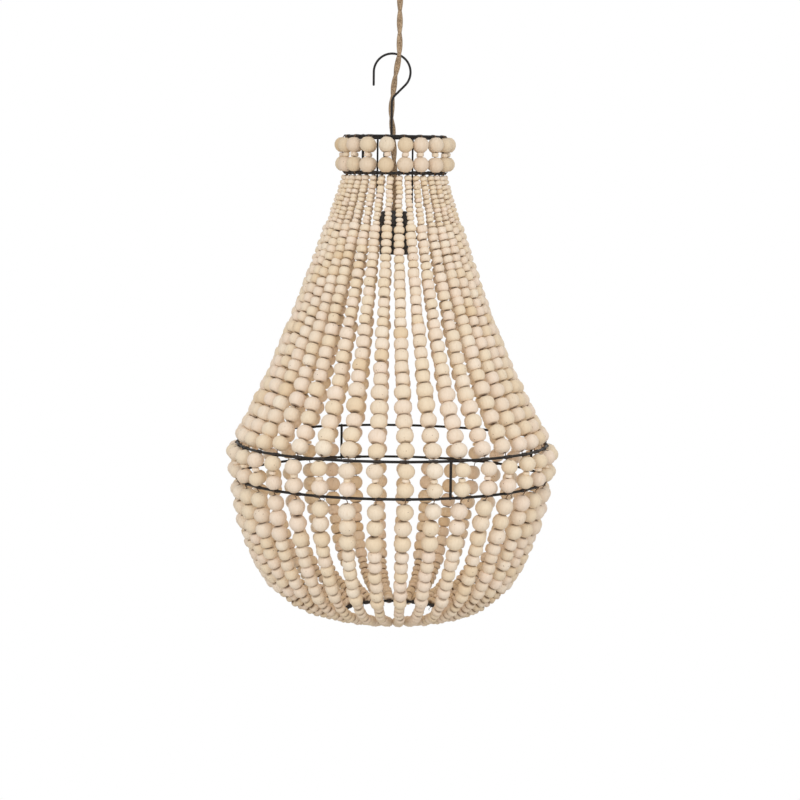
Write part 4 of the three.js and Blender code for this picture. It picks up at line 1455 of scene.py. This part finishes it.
def allKnots():
    tree, knot = knotTree(), knotMesh()
    parts = []
    for i, (radius, height, count, lengthShare, girth) in enumerate(knotPlaces):
        values = {
            "Knot": knot, "Count": count, "Radius": radius, "Height": height, "Axis": axis,
            "Size spread": knotLook["sizeSpread"], "Shift": knotLook["shift"], "Length share": lengthShare,
            "Girth": girth, "Seed": 70 + 5 * i,
        }
        parts.append(runTree(tree, values, "knots"))
    bpy.data.objects.remove(knot)
    parts += tailMeshes()
    return settled(joinMeshes("ringKnots", parts))


newPiece("ringKnots", allKnots(), "lamp", thread)


# floor, lamps and the white room
print("studio")
studio = {
    "floor": -2.05, "floorSize": 5.4, "floorGlow": 0.6, "roomLevel": 0.72,
    "floorTints": (tint(196, 192, 186), tint(188, 184, 178)), "floorNoise": (6.0, 2.0),
    "lamps": [  # name, place, size and power
        ("key", (-0.25, -2.9, 0.15), 2.2, 33.5),
        ("fill", (2.2, -1.2, 0.4), 2.0, 5.0),
        ("rim", (0.3, 2.4, 1.2), 2.0, 14.0),
    ],
    "inner": {"place": (0.005, 0.0, -0.56), "radius": 0.06, "power": 0.16, "colour": (1.0, 0.74, 0.4)},
    "aim": (0.005, 0.0, -0.42),
}


def cameraShare(graph):  # 1 where the camera, a gloss or a glass looks
    path = graph.add("ShaderNodeLightPath")
    seen = [path.of(name) for name in ("Is Camera Ray", "Is Glossy Ray", "Is Transmission Ray")]
    either = {0: seen[0] + seen[1], 1: seen[2]}
    return graph.add("ShaderNodeMath", {"operation": "ADD", "use_clamp": True}, either)


def makeFloor():
    half, height = studio["floorSize"] / 2, studio["floor"]
    corners = [(-half, -half, height), (half, -half, height), (half, half, height), (-half, half, height)]
    mesh = meshOf("floor", corners, [(0, 1, 2, 3)], smooth=False)
    finish, graph = newMaterial("paleFloor")
    fleck = noiseOf(graph, objectPlace(graph), *studio["floorNoise"])
    colour = mixTint(graph, fleck, *studio["floorTints"])
    lit = graph.add("ShaderNodeBsdfDiffuse", {}, {"Color": colour})
    strength = cameraShare(graph) * studio["floorGlow"]
    glow = graph.add("ShaderNodeEmission", {}, {"Color": white, "Strength": strength})
    both = graph.add("ShaderNodeAddShader", {}, {0: lit, 1: glow})
    graph.add("ShaderNodeOutputMaterial", {}, {"Surface": both})
    mesh.materials.append(finish)
    linked(bpy.data.objects.new("floor", mesh))


def makeLamps():
    for name, place, size, power in studio["lamps"]:
        data = bpy.data.lights.new(name, "AREA")
        data.size, data.energy = size, power
        aim = (Vector(studio["aim"]) - Vector(place)).to_track_quat("-Z", "Y")
        lampObject = linked(bpy.data.objects.new(name, data))
        lampObject.matrix_world = Matrix.Translation(place) @ aim.to_matrix().to_4x4()


def makeInnerLamp():  # light that the pale beads pass on inside the lamp
    inner = studio["inner"]
    data = bpy.data.lights.new("inner", "POINT")
    data.shadow_soft_size, data.energy, data.color = inner["radius"], inner["power"], inner["colour"]
    lampObject = linked(bpy.data.objects.new("inner", data))
    lampObject.location = inner["place"]
    lampObject.visible_camera = False


def makeRoom():
    room = bpy.data.worlds.new("whiteRoom")
    room.use_nodes = True
    room.node_tree.nodes.clear()
    graph = Graph(room.node_tree)
    level = cameraShare(graph) * (1 - studio["roomLevel"]) + studio["roomLevel"]
    glow = graph.add("ShaderNodeBackground", {}, {"Color": white, "Strength": level})
    graph.add("ShaderNodeOutputWorld", {}, {"Surface": glow})
    scene.world = room


makeFloor()
makeLamps()
makeInnerLamp()
makeRoom()
scene.view_settings.view_transform = "Standard"
